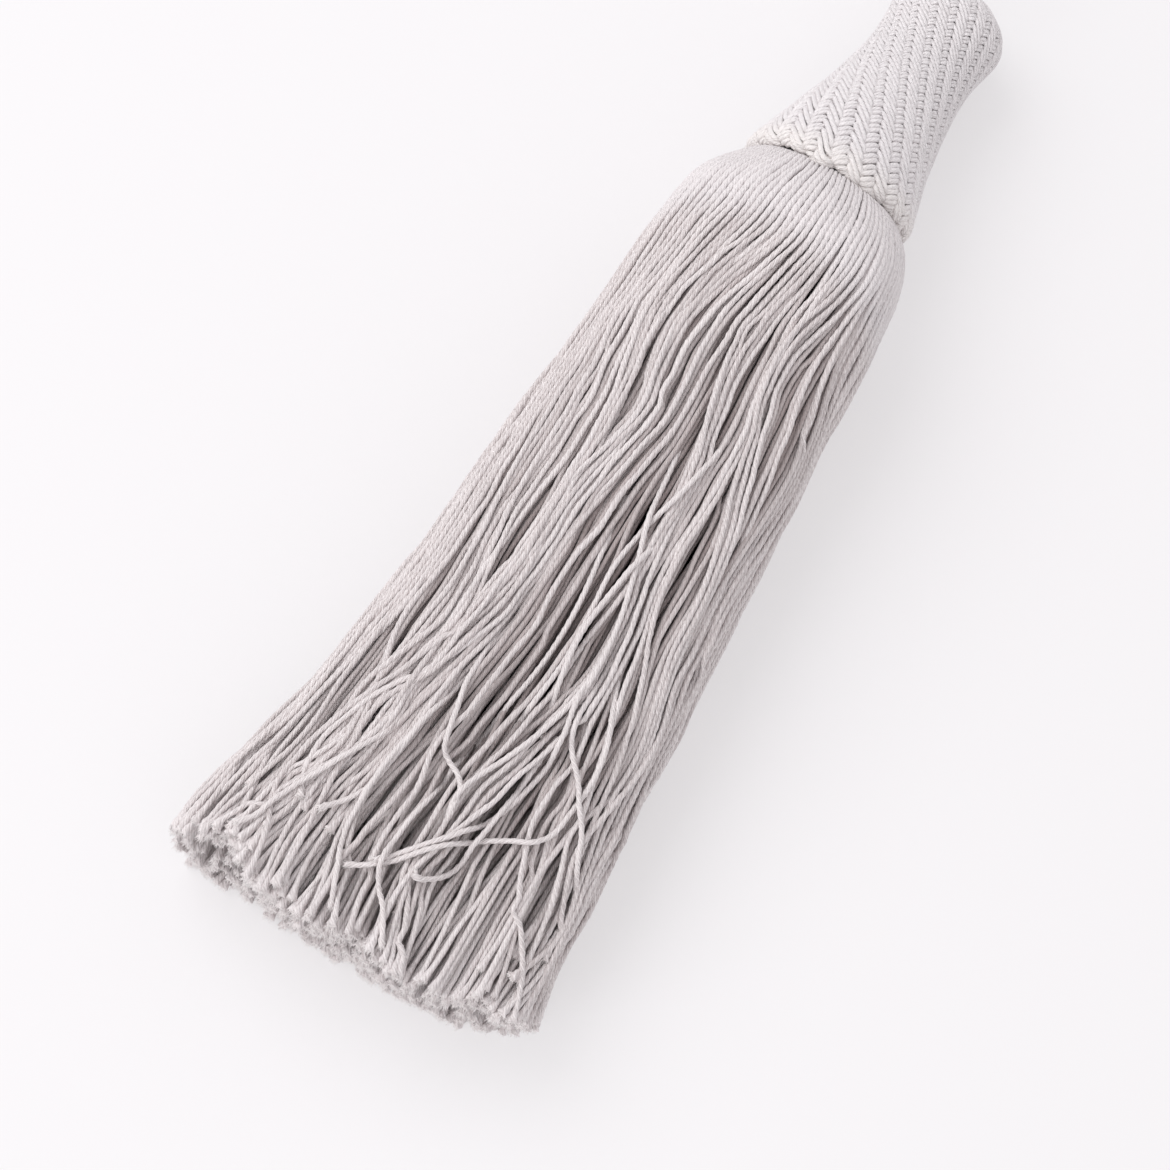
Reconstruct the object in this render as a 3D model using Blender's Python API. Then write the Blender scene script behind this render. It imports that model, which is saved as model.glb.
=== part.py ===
"""Curtain tieback tassel lying on its side: a braided head and a skirt of cut cotton strands.

Metres, +Z up. The tassel lies on z = 0. Its head points to +Y and its skirt runs to -Y.
The skirt is first built as a straight comb: x counts its columns, y its rows, z the distance
from the head's rim. bundle_point() then lays every point of the comb where it lies in the tassel.
"""
import math
import random

import bmesh
import bpy
from mathutils import Matrix, Vector

MM = 0.001

# Head, measured along its own axis from its rim
HEAD_LENGTH = 46.0 * MM
RIM_RADIUS = 15.1 * MM
SHOULDER_RADIUS = 10.3 * MM
SHOULDER_ALONG = 38.5 * MM
LIP_DEPTH = 1.0 * MM            # how far the rim stands down around the skirt's neck
LIP_THICKNESS = 2.8 * MM
LIP_ROUND = 0.45 * MM           # the lip's underside is rounded up by this at both edges
LIP_STEPS = 5
NECK_CLEARANCE = 0.3 * MM       # gap between the recess and the end of the skirt's neck
BRAID_STRANDS = 20              # strands in each of the two directions
BRAID_ROW = 1.25 * MM           # distance along the head between two rows of crossings
BRAID_RISE = 0.22 * MM          # a crossing stands out by this, a gap lies in by as much

# Where the head lies
RIM_PLACE = Vector((0.744 * MM, 51.113 * MM, 15.9 * MM))
HEAD_YAW = math.radians(4.3)    # the head is turned a little to +X
HEAD_FLAT = 0.12 * MM           # the shoulder is pressed this flat where it lies
BEND_RUN = 20.0 * MM            # the bundle turns from the head's slope to level over this

# Skirt
SKIRT_LENGTH = 146.0 * MM
LONGEST_STRAND = 149.0 * MM
COLUMNS = 17
ROWS = 9
STRAND_GAP = 0.14               # gap between strands, as a share of their pitch
ROOT_ALONG = 24.0 * MM          # the strands part here
ROOT_TAPER = 2.5 * MM
GROOVE_DEPTH = 0.035            # grooves of the dome, as a share of its half width
GROOVE_RUN = 8.0 * MM           # the grooves deepen over this distance from the neck
UNDERSIDE_TUCK = 0.55           # how far the sides draw in towards a flat underside
TOP_SHORTER = 4.5 * MM          # strands on top pass over the dome and end this much earlier
CUT_SPREAD = 1.3 * MM
LOCK_GATHER = 0.15              # share by which a lock of strands draws together sideways
LOCK_LAYER = 0.03               # and upwards, so that no daylight shows between the layers
LOCK_SWAY = 0.08                # sideways sway of a lock, in strands
SWAY_LENGTH = 70.0 * MM
ROOT_STAGGER = 2.6 * MM         # the line where the strands part is uneven by this
GATHER_RUN = 34.0 * MM          # locks and waves grow over this distance from the roots
WAVE_WIDE = 0.052               # sway of the long wave, as a share of the half width
WAVE_LENGTH = 66.0 * MM
WAVE_NARROW = 0.018
RIPPLE_LENGTH = 38.0 * MM
CUT_SEED = 11
ON_LINE = 0.01                  # a point this close to a line of the comb is on it

# Cross-sections of the skirt, distances in mm from the rim.
# crown: 1 is a round top, less is squarer. flat: 1 is a flat underside, 0 a round one.
# along, left, right, height, lift, crown, flat
SKIRT_SECTIONS = (
    (-0.7, 11.8, 11.8, 23.6, 4.1, 1.00, 0.0),
    (0.7, 11.9, 11.9, 23.8, 4.0, 1.00, 0.0),
    (1.7, 14.6, 14.6, 28.6, 1.9, 1.00, 0.1),
    (3.2, 17.0, 17.0, 32.0, 0.5, 1.00, 0.3),
    (6.0, 18.7, 18.5, 33.7, 0.0, 0.98, 0.7),
    (10.5, 20.1, 19.9, 34.3, 0.0, 0.95, 0.9),
    (16.5, 20.9, 20.9, 34.0, 0.0, 0.90, 1.0),
    (24.0, 21.3, 21.7, 33.0, 0.0, 0.84, 1.0),
    (36.0, 21.4, 21.8, 31.4, 0.0, 0.80, 1.0),
    (47.0, 22.0, 23.0, 30.2, 0.0, 0.80, 1.0),
    (60.0, 23.3, 23.8, 29.2, 0.0, 0.80, 1.0),
    (75.0, 23.8, 25.2, 28.2, 0.0, 0.80, 1.0),
    (90.0, 24.8, 27.0, 27.3, 0.0, 0.80, 1.0),
    (106.0, 26.8, 28.2, 26.4, 0.0, 0.80, 1.0),
    (118.0, 29.2, 29.4, 25.6, 0.0, 0.80, 1.0),
    (130.0, 31.8, 30.6, 24.8, 0.0, 0.80, 1.0),
    (142.0, 33.4, 32.4, 24.2, 0.0, 0.80, 1.0),
    (150.0, 33.6, 32.0, 24.0, 0.0, 0.80, 1.0),
)
DOME_STATIONS = (16.5, 10.5, 6.0, 3.2, 1.7, 0.7)            # mm, from the roots up to the neck
STRAND_STATIONS = (44.0, 61.0, 78.0, 96.0, 114.0, 132.0)    # mm, between the roots and the tips

# Radius of the head along its axis, in mm
# along, radius
HEAD_PROFILE = (
    (1.6, RIM_RADIUS / MM),
    (3.2, 15.00),
    (5.5, 14.40),
    (8.4, 13.60),
    (14.0, 12.10),
    (20.0, 10.80),
    (25.5, 9.90),
    (31.0, 9.50),
    (SHOULDER_ALONG / MM, SHOULDER_RADIUS / MM),
    (40.6, 9.95),
    (42.4, 8.80),
    (43.9, 7.20),
    (45.1, 5.20),
    (45.8, 3.20),
    (46.0, 1.60),
)

# Locks that the strands fall into: the columns where one lock ends and the next starts
# first row, last row + 1, column bounds
LOCK_BANDS = (
    (0, 3, (0, 3, 7, 11, 14, 17)),
    (3, 6, (0, 2, 6, 9, 13, 17)),
    (6, 9, (0, 2, 4, 8, 10, 13, 15, 17)),
)

# name: colour (linear), roughness, metallic
MATERIALS = {
    "braided_cotton": ((0.63, 0.59, 0.575), 0.85, 0.0),
    "cotton_yarn": ((0.60, 0.565, 0.56), 0.88, 0.0),
}


def clear_scene():
    """Start from an empty file."""
    for item in list(bpy.data.objects):
        bpy.data.objects.remove(item, do_unlink=True)


def ease(value):
    """Smooth step from 0 to 1."""
    value = max(0.0, min(1.0, value))
    return value * value * (3.0 - 2.0 * value)


def mix(first, second, share):
    return first + (second - first) * share


def slope(table, row, column):
    """Slope of a column at a row, flat at its turning points so that no curve overshoots."""
    if row == 0 or row == len(table) - 1:
        return 0.0
    before = (table[row][column] - table[row - 1][column]) / (table[row][0] - table[row - 1][0])
    after = (table[row + 1][column] - table[row][column]) / (table[row + 1][0] - table[row][0])
    if before * after <= 0.0:
        return 0.0
    return 2.0 * before * after / (before + after)


def table_row(table, along):
    """All columns of a table at a distance along it, on smooth curves through its rows."""
    along = max(table[0][0], min(table[-1][0], along))
    row = 0
    while row < len(table) - 2 and table[row + 1][0] < along:
        row += 1
    span = table[row + 1][0] - table[row][0]
    t = (along - table[row][0]) / span
    values = []
    for column in range(1, len(table[row])):
        start = table[row][column]
        end = table[row + 1][column]
        leave = slope(table, row, column) * span
        arrive = slope(table, row + 1, column) * span
        values.append(
            start * (2.0 * t ** 3 - 3.0 * t ** 2 + 1.0)
            + leave * (t ** 3 - 2.0 * t ** 2 + t)
            + end * (3.0 * t ** 2 - 2.0 * t ** 3)
            + arrive * (t ** 3 - t ** 2)
        )
    return values


def head_tilt():
    """Slope at which the head lies on its shoulder."""
    drop = RIM_PLACE.z - SHOULDER_RADIUS + HEAD_FLAT
    return math.asin(drop / SHOULDER_ALONG)


def head_matrix():
    """Turns the head's own axis, +Z from its rim, to where the head lies."""
    tilt = Matrix.Rotation(-math.pi / 2.0 - head_tilt(), 4, "X")
    yaw = Matrix.Rotation(-HEAD_YAW, 4, "Z")
    return Matrix.Translation(RIM_PLACE) @ yaw @ tilt


# ---------------------------------------------------------------- skirt

def section_point(u, v, crown, flat):
    """Maps the square -1 to 1 on a round section with a flat underside."""
    upper = (1.0 + v) / 2.0
    narrow = mix(1.0 - UNDERSIDE_TUCK * flat, crown, upper)
    sink = mix(1.0 - flat, crown, upper)
    across = u * math.sqrt(1.0 - narrow * v * v / 2.0)
    up = v * math.sqrt(1.0 - sink * u * u / 2.0)
    return across, up


def wave(u, v, along):
    """Sideways wave of the strands, none at the sides of the bundle nor at its roots.

    The phases drift across the bundle, so that the strands don't all sway as one.
    """
    long_wave = WAVE_WIDE * math.sin(math.tau * along / WAVE_LENGTH + 0.8 * v + 1.4 * u + 0.4)
    short_wave = WAVE_NARROW * math.sin(math.tau * along / RIPPLE_LENGTH - 0.5 * v + 3.2 * u)
    return (long_wave + short_wave) * (1.0 - u ** 4) * ease((along - ROOT_ALONG) / GATHER_RUN)


def bundle_point(u, v, along):
    """World place of a point of the bundle: u across and v upwards, both from -1 to 1."""
    left, right, height, lift, crown, flat = table_row(SKIRT_SECTIONS, along / MM)
    across, up = section_point(u + wave(u, v, along), v, crown, flat)
    bent = 1.0 - ease(along / BEND_RUN)
    tilt = head_tilt() * bent
    yaw = HEAD_YAW * bent
    side = ((right - left) / 2.0 + across * (left + right) / 2.0) * MM
    middle = (lift + height / 2.0) * MM
    above = up * height / 2.0 * MM
    return Vector((
        RIM_PLACE.x + side * math.cos(yaw),
        RIM_PLACE.y - along - side * math.sin(yaw) + above * math.sin(tilt),
        middle + above * math.cos(tilt),
    ))


def lock_of(column, row):
    """Bounds of the lock that a strand belongs to: its columns, then its rows."""
    for low, high, bounds in LOCK_BANDS:
        if low <= row < high:
            for first, last in zip(bounds, bounds[1:]):
                if first <= column < last:
                    return first, last, low, high
    return 0, COLUMNS, 0, ROWS


def out_to_side(value, count):
    """Outer faces of the outermost strands lie on the bundle's own side, with no gap there."""
    if value < STRAND_GAP:
        return 0.0
    if value > count - STRAND_GAP:
        return float(count)
    return value


def draw_in(value, first, last, count, share):
    """Moves a value towards the middle of its lock, or towards the bundle's own side."""
    anchor = (first + last) / 2.0
    if first == 0:
        anchor = 0.0
    if last == count:
        anchor = float(count)
    return anchor + (value - anchor) * (1.0 - share)


def strand_point(x, y, along):
    """Place of a strand's corner. Past the last station all strands run straight to their tips."""
    last = STRAND_STATIONS[-1] * MM
    if along <= last:
        return lock_point(x, y, along)
    share = (along - last) / (LONGEST_STRAND - last)
    return lock_point(x, y, last).lerp(lock_point(x, y, LONGEST_STRAND), share)


def lock_point(x, y, along):
    """Place of a strand's corner, drawn towards its lock."""
    first, last, low, high = lock_of(int(x), int(y))
    gathered = ease((along - ROOT_ALONG) / GATHER_RUN)
    x = draw_in(out_to_side(x, COLUMNS), first, last, COLUMNS, LOCK_GATHER * gathered)
    y = draw_in(out_to_side(y, ROWS), low, high, ROWS, LOCK_LAYER * gathered)
    if first > 0 and last < COLUMNS:
        phase = first * 1.7 + low * 0.9
        x += LOCK_SWAY * gathered * math.sin(math.tau * along / SWAY_LENGTH + phase)
    return bundle_point(2.0 * x / COLUMNS - 1.0, 2.0 * y / ROWS - 1.0, along)


def dome_point(x, y, along):
    """Place of a point on the ridged dome: a ridge for each strand and a groove between two."""
    u = 2.0 * x / COLUMNS - 1.0
    v = 2.0 * y / ROWS - 1.0
    on_side = x < ON_LINE or x > COLUMNS - ON_LINE
    step = y if on_side else x
    is_groove = abs(step - round(step)) < ON_LINE
    depth = GROOVE_DEPTH * ease((along + LIP_DEPTH) / GROOVE_RUN) if is_groove else 0.0
    return bundle_point(u * (1.0 - depth), v * (1.0 - depth), along)


def tip_along(column, row, spread):
    """Where a strand is cut."""
    lock = lock_of(column, row)
    lock_step = CUT_SPREAD * math.sin(lock[0] * 2.3 + lock[2] * 1.1)
    return SKIRT_LENGTH - TOP_SHORTER * (row + 0.5) / ROWS + lock_step + spread


def comb_plate(bm):
    """Plate at the roots with one raised face for each strand, returned in a list."""
    plate = bmesh.ops.create_grid(bm, x_segments=COLUMNS, y_segments=ROWS, size=0.5)
    bmesh.ops.scale(bm, vec=(COLUMNS, ROWS, 1.0), verts=plate["verts"])
    bmesh.ops.translate(bm, vec=(COLUMNS / 2.0, ROWS / 2.0, ROOT_ALONG), verts=plate["verts"])
    roots = list(bm.faces)
    bmesh.ops.inset_individual(bm, faces=roots, thickness=STRAND_GAP / 2.0)
    for root in roots:
        bmesh.ops.translate(bm, vec=(0.0, 0.0, ROOT_TAPER), verts=root.verts)
    for vert in bm.verts:
        vert.co.z += ROOT_STAGGER * math.sin(2.1 * vert.co.x + 1.3 * vert.co.y)
    return roots


def comb_dome(bm):
    """Side wall from the plate up to the neck, and the neck's end."""
    rim = [edge for edge in bm.edges if edge.is_boundary]
    for edge in list(rim):
        half, _ = bmesh.utils.edge_split(edge, edge.verts[0], 0.5)
        rim.append(half)
    neck_end = NECK_CLEARANCE - LIP_DEPTH
    for along in [station * MM for station in DOME_STATIONS] + [neck_end]:
        made = bmesh.ops.extrude_edge_only(bm, edges=rim)["geom"]
        for item in made:
            if isinstance(item, bmesh.types.BMVert):
                item.co.z = along
        rim = [item for item in made if isinstance(item, bmesh.types.BMEdge) and item.is_boundary]
    bmesh.ops.contextual_create(bm, geom=rim)


def comb_strands(bm, roots):
    """Runs each strand from its root to its tip, with its corners on every station."""
    cut = random.Random(CUT_SEED)
    for root in roots:
        middle = root.calc_center_median()
        spread = cut.uniform(-1.0, 1.0) * CUT_SPREAD
        tip = tip_along(int(middle.x), int(middle.y), spread)
        for along in [station * MM for station in STRAND_STATIONS] + [tip]:
            root = bmesh.ops.extrude_discrete_faces(bm, faces=[root])["faces"][0]
            for vert in root.verts:
                vert.co.z = along


def lay_out(bm):
    """Lays the straight comb out as the tassel's skirt."""
    for vert in bm.verts:
        x, y, along = vert.co
        on_line = abs(x - round(x)) < ON_LINE or abs(y - round(y)) < ON_LINE
        place = dome_point if on_line else strand_point
        vert.co = place(x, y, along)


def build_skirt():
    """Ridged dome under the rim with the strands that hang from it, as one solid."""
    bm = bmesh.new()
    roots = comb_plate(bm)
    comb_dome(bm)
    comb_strands(bm, roots)
    lay_out(bm)
    return finish_solid(bm, "skirt", "cotton_yarn", smooth=False)


# ---------------------------------------------------------------- head

def head_rings():
    """Rings of the head from its recess, round the lip and up to its top: along, radius, row."""
    half_lip = LIP_THICKNESS / 2.0
    rings = [(LIP_DEPTH, RIM_RADIUS - LIP_THICKNESS, None)]
    for step in range(LIP_STEPS):
        angle = math.pi * step / (LIP_STEPS - 1)
        radius = RIM_RADIUS - half_lip - half_lip * math.cos(angle)
        rings.append((LIP_ROUND * (1.0 - math.sin(angle)), radius, None))
    start = HEAD_PROFILE[0][0] * MM
    rows = int((HEAD_LENGTH - start) / BRAID_ROW)
    for row in range(rows):
        along = start + row * BRAID_ROW
        rings.append((along, table_row(HEAD_PROFILE, along / MM)[0] * MM, row))
    for along, radius in HEAD_PROFILE:
        if along * MM > start + rows * BRAID_ROW - BRAID_ROW / 2.0:
            rings.append((along * MM, radius * MM, None))
    return rings


def braid_rise(row, column):
    """Crossings stand out and the gaps between them lie in."""
    if row is None:
        return 0.0
    return BRAID_RISE if (row + column) % 2 == 0 else -BRAID_RISE


def ring_verts(bm, along, radius, row):
    verts = []
    count = BRAID_STRANDS * 2
    for column in range(count):
        angle = math.tau * column / count
        reach = radius + braid_rise(row, column)
        verts.append(bm.verts.new((reach * math.cos(angle), reach * math.sin(angle), along)))
    return verts


def ring_edges(bm, ring):
    """Edges of a closed ring, made where there are none yet."""
    edges = []
    for first, second in zip(ring, ring[1:] + ring[:1]):
        edges.append(bm.edges.get((first, second)) or bm.edges.new((first, second)))
    return edges


def build_head():
    """Waisted head cover with a turned-under rim, a rounded shoulder and a closed top."""
    bm = bmesh.new()
    rings = [ring_verts(bm, *ring) for ring in head_rings()]
    bm.faces.new(rings[0])
    bm.faces.new(rings[-1])
    for lower, upper in zip(rings, rings[1:]):
        bmesh.ops.bridge_loops(bm, edges=ring_edges(bm, lower) + ring_edges(bm, upper))
    bmesh.ops.transform(bm, matrix=head_matrix(), verts=bm.verts)
    for vert in bm.verts:
        vert.co.z = max(vert.co.z, 0.0)
    return finish_solid(bm, "braided_head", "braided_cotton", smooth=True)


# ---------------------------------------------------------------- objects

def make_material(name):
    colour, roughness, metallic = MATERIALS[name]
    material = bpy.data.materials.new(name)
    material.use_nodes = True
    shader = material.node_tree.nodes["Principled BSDF"]
    shader.inputs["Base Color"].default_value = (*colour, 1.0)
    shader.inputs["Roughness"].default_value = roughness
    shader.inputs["Metallic"].default_value = metallic
    material.diffuse_color = (*colour, 1.0)
    return material


def finish_solid(bm, name, material, smooth):
    """Turns the faces outwards and makes the named object."""
    bmesh.ops.recalc_face_normals(bm, faces=bm.faces)
    mesh = bpy.data.meshes.new(name)
    bm.to_mesh(mesh)
    bm.free()
    mesh.materials.append(make_material(material))
    if smooth:
        mesh.shade_smooth()
        mesh.set_sharp_from_angle(angle=math.radians(50.0))
    item = bpy.data.objects.new(name, mesh)
    bpy.context.scene.collection.objects.link(item)
    return item


def main():
    clear_scene()
    build_head()
    build_skirt()


main()
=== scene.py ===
"""Looks of the curtain tieback tassel: plied cotton yarns, a braided head, a pale studio.

Tables are in millimetres and meshes in metres. "along" is the distance from the head's rim
towards the cut end, "across" runs to +X and "above" upwards from the bundle's middle line.
"""

import math

import bpy
import numpy as np
from mathutils import Matrix, Vector


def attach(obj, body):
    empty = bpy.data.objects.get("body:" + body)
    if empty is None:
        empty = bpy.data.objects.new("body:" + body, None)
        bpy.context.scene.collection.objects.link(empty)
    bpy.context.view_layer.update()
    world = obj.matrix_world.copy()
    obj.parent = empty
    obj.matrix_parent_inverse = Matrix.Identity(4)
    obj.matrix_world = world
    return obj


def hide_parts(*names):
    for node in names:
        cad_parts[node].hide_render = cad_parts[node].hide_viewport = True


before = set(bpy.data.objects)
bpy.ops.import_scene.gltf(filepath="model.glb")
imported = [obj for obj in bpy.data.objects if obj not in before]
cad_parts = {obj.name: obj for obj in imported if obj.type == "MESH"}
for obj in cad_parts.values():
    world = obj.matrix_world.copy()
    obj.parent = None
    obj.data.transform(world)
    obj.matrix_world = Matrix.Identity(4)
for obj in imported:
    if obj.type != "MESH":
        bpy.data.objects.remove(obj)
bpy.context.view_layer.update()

MM = 0.001
SEED = 5

# The skirt's cross-sections, as in the solids, but for the rim, where the yarns swell out at once.
# crown: 1 is a round top, less is squarer. flat: 1 is a flat underside, 0 a round one.
# along, left, right, height, lift, crown, flat
SKIRT_SECTIONS = (
    (-0.7, 12.6, 12.6, 25.2, 3.3, 1.00, 0.0),
    (0.0, 13.3, 13.3, 26.6, 2.6, 1.00, 0.0),
    (0.35, 13.9, 13.9, 27.8, 2.0, 1.00, 0.0),
    (0.75, 14.8, 14.9, 29.6, 1.1, 1.00, 0.05),
    (1.4, 15.3, 15.6, 30.5, 0.8, 1.00, 0.1),
    (2.2, 15.7, 16.2, 31.2, 0.7, 1.00, 0.2),
    (3.2, 16.4, 17.1, 32.0, 0.5, 1.00, 0.3),
    (6.0, 18.1, 18.6, 33.7, 0.0, 0.98, 0.7),
    (10.5, 20.0, 19.9, 34.3, 0.0, 0.95, 0.9),
    (16.5, 20.9, 20.9, 34.0, 0.0, 0.90, 1.0),
    (24.0, 21.3, 21.7, 33.0, 0.0, 0.84, 1.0),
    (36.0, 21.4, 21.8, 31.4, 0.0, 0.80, 1.0),
    (47.0, 22.0, 23.0, 30.2, 0.0, 0.80, 1.0),
    (60.0, 23.3, 23.8, 29.2, 0.0, 0.80, 1.0),
    (75.0, 23.8, 25.2, 28.2, 0.0, 0.80, 1.0),
    (90.0, 24.8, 27.0, 27.3, 0.0, 0.80, 1.0),
    (106.0, 26.8, 28.2, 26.4, 0.0, 0.80, 1.0),
    (118.0, 29.2, 29.4, 25.6, 0.0, 0.80, 1.0),
    (130.0, 31.8, 30.6, 24.8, 0.0, 0.80, 1.0),
    (142.0, 33.4, 32.4, 24.2, 0.0, 0.80, 1.0),
    (150.0, 33.6, 32.0, 24.0, 0.0, 0.80, 1.0),
)
UNDERSIDE_TUCK = 0.55           # a flat underside is narrower by this

# Where the head lies. Its rim stands across the bundle and the head behind it tilts and turns.
RIM_PLACE = (1.1, 50.6, 15.9)
RIM_YAW, HEAD_YAW = math.radians(-1.5), math.radians(2.3)
SHOULDER_ALONG, SHOULDER_RADIUS, HEAD_FLAT = 38.5, 10.3, 0.12
HEAD_TILT = math.asin((RIM_PLACE[2] - SHOULDER_RADIUS + HEAD_FLAT) / SHOULDER_ALONG)
HEAD_TURN_RUN, BEND_RUN = 14.0, 20.0

# Camera
AZIMUTH, ELEVATION = math.radians(31.94), math.radians(76.0)
TARGET = (2.4, -25.7, 13.0)
CAMERA_DISTANCE = 498.0
LENS, SENSOR = 95.0, 36.0

# Places that are read off the view, "along, across", are given on a flat plane seen through the
# middle of the picture, from the rim. These carry them into the view.
SEEN_RIM = (39.19, 66.05)
SEEN_SLANT = math.sin(math.radians(77.0))
SEEN_HEIGHT, SEEN_PASSES = 28.0, 4      # first guess of the bundle's top, then closer

# Yarns. What grows along the skirt has a start and a length.
YARN_RADIUS = 0.47
TWIST_PITCH = 4.5
PLIES = 3
NECK_THIN = 0.70                # yarns are this much thinner in the tight neck
NECK_GROWS = -0.2, 8.0
SWELL = 0.38                    # on the dome they are pressed flat against each other
SWELL_GROWS, SWELL_ENDS = (-0.5, 2.5), (9.0, 9.0)
LAYER_YARNS = (116, 112, 106, 100, 92, 84, 66)
LAYER_STEP = 0.84
SHARE_JITTER, RADIUS_RANGE = 0.12, (0.95, 1.05)
# The layers spread to fill the cut end, and the last one, the core, lies anywhere inside its share
LAYER_END = (0.968, 0.87, 0.77, 0.66, 0.54, 0.40, 0.30)
SPREAD_GROWS = 55.0, 80.0
LOWEST = 0.02                   # nothing lies closer to the surface
ROOT_END, LONGEST = -0.6, 152.0
# Stations along the skirt, for the yarns' own curves and for the settling
FINE = np.concatenate((
    np.arange(ROOT_END, 4.0, 0.15), np.arange(4.0, 12.0, 0.3), np.arange(12.0, LONGEST, 0.6)))
COARSE = np.concatenate((
    (ROOT_END, 0.7, 2.0, 4.0, 6.0, 8.0, 10.0, 12.0), np.arange(14.0, LONGEST, 2.0)))


def ease(value):
    value = np.clip(value, 0.0, 1.0)
    return value * value * (3.0 - 2.0 * value)


def grow(along, stretch):
    """From 0 to 1 over a stretch, which has a start and a length."""
    start, length = stretch
    return ease((along - start) / length)


def swell(along):
    """Width of the yarns on the dome, against their width further down."""
    return 1.0 + SWELL * grow(along, SWELL_GROWS) * (1.0 - grow(along, SWELL_ENDS))


def mix(first, second, share):
    return first + (second - first) * share


def curve_at(x, y, slope, wanted):
    """Cubic curve through values y with slopes at stations x, read at other stations."""
    row = np.clip(np.searchsorted(x, wanted, side="right") - 1, 0, len(x) - 2)
    shape = np.shape(wanted) + (1,) * (y.ndim - 1)
    span = np.reshape(x[row + 1] - x[row], shape)
    t = np.reshape(wanted - x[row], shape) / span
    return (
        y[row] * (2.0 * t ** 3 - 3.0 * t ** 2 + 1.0)
        + slope[row] * span * (t ** 3 - 2.0 * t ** 2 + t)
        + y[row + 1] * (3.0 * t ** 2 - 2.0 * t ** 3)
        + slope[row + 1] * span * (t ** 3 - t ** 2)
    )


def table_at(table, along):
    """All columns of a table at distances along it, on smooth curves that never overshoot."""
    rows = np.array(table, float)
    x, y = rows[:, 0], rows[:, 1:]
    rise = np.diff(y, axis=0) / np.diff(x)[:, None]
    before, after = rise[:-1], rise[1:]
    turning = before * after <= 0.0
    total = np.where(turning, 1.0, before + after)
    slope = np.zeros_like(y)
    slope[1:-1] = np.where(turning, 0.0, 2.0 * before * after / total)
    return curve_at(x, y, slope, np.clip(np.asarray(along, float), x[0], x[-1]))


def resample(values, along, wanted):
    """Smooth curve through values given at stations along, read at other stations."""
    return curve_at(along, values, np.gradient(values, along, axis=0), wanted)


def put(name, data):
    """New object in the scene."""
    made = bpy.data.objects.new(name, data)
    bpy.context.scene.collection.objects.link(made)
    return made


# ---------------------------------------------------------------- camera and view

def view_axes():
    """Unit vectors of the camera: right, up, back."""
    right = Vector((math.cos(AZIMUTH), math.sin(AZIMUTH), 0.0))
    back = Vector((
        math.sin(AZIMUTH) * math.cos(ELEVATION),
        -math.cos(AZIMUTH) * math.cos(ELEVATION),
        math.sin(ELEVATION),
    ))
    return right, back.cross(right), back


def add_camera():
    right, up, back = view_axes()
    data = bpy.data.cameras.new("camera")
    data.lens = LENS
    data.sensor_width = SENSOR
    data.clip_start = 0.01
    camera = put("camera", data)
    place = (Vector(TARGET) + back * CAMERA_DISTANCE) * MM
    turn = Matrix((right, up, back)).transposed().to_4x4()
    camera.matrix_world = Matrix.Translation(place) @ turn
    bpy.context.scene.camera = camera


def seen_to_top(along, across):
    """Carries a place read off the view down the camera's ray on to the bundle's top."""
    right, up, back = (np.array(axis) for axis in view_axes())
    seen_x = SEEN_RIM[0] - math.sin(AZIMUTH) * along + math.cos(AZIMUTH) * across
    seen_y = (SEEN_RIM[1] - math.cos(AZIMUTH) * along - math.sin(AZIMUTH) * across) * SEEN_SLANT
    eye = np.array(TARGET) + back * CAMERA_DISTANCE
    ray = np.array(TARGET) + right * seen_x + up * seen_y - eye
    height = SEEN_HEIGHT
    for _ in range(SEEN_PASSES):
        hit = eye + ray * (height - eye[2]) / ray[2]
        found_along = RIM_PLACE[1] - hit[1]
        found_across = hit[0] - RIM_PLACE[0]
        height = top_height(found_along, found_across)
    return found_along, found_across


def top_height(along, across):
    """Height of the bundle's top at a place."""
    left, right, height, lift, crown, _ = table_at(SKIRT_SECTIONS, along)
    u = np.clip((across - (right - left) / 2.0) * 2.0 / (left + right), -0.98, 0.98)
    u = u / math.sqrt(1.0 - crown / 2.0 * (1.0 - 0.5 * u * u))
    u = np.clip(u, -1.0, 1.0)
    return lift + height / 2.0 * (1.0 + math.sqrt(1.0 - crown * u * u / 2.0))


# ---------------------------------------------------------------- flow of the bundle

def sections(along):
    """Columns of the skirt's sections at stations along it, [column, station, 1]."""
    return table_at(SKIRT_SECTIONS, along).T[:, :, None]


def square_edge(share):
    """Once round the square -1 to 1, from the middle of its top towards +1: u, v."""
    turn = (share % 1.0) * 8.0
    corners = (0.0, 1.0, 3.0, 5.0, 7.0, 8.0)
    return (
        np.interp(turn, corners, (0.0, 1.0, 1.0, -1.0, -1.0, 0.0)),
        np.interp(turn, corners, (1.0, 1.0, -1.0, -1.0, 1.0, 1.0)),
    )


def section_place(u, v, shape):
    """Side and above of points of the square in the bundle's sections."""
    left, right, height, _, crown, flat = shape
    upper = (1.0 + v) / 2.0
    narrow = mix(1.0 - UNDERSIDE_TUCK * flat, crown, upper)
    sink = mix(1.0 - flat, crown, upper)
    across = u * np.sqrt(1.0 - narrow * v * v / 2.0)
    up = v * np.sqrt(1.0 - sink * u * u / 2.0)
    return (right - left) / 2.0 + across * (left + right) / 2.0, up * height / 2.0


def to_world(places, along):
    """World places in mm of the yarns' places in the sections, [station, yarn, 2]."""
    _, _, height, lift, _, _ = sections(along)
    side, above = places[..., 0], places[..., 1]
    along = along[:, None]
    yaw = RIM_YAW * (1.0 - ease(along / BEND_RUN))
    return np.stack((
        RIM_PLACE[0] + side * np.cos(yaw),
        RIM_PLACE[1] - along - side * np.sin(yaw),
        lift + height / 2.0 + above,
    ), axis=-1)


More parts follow.
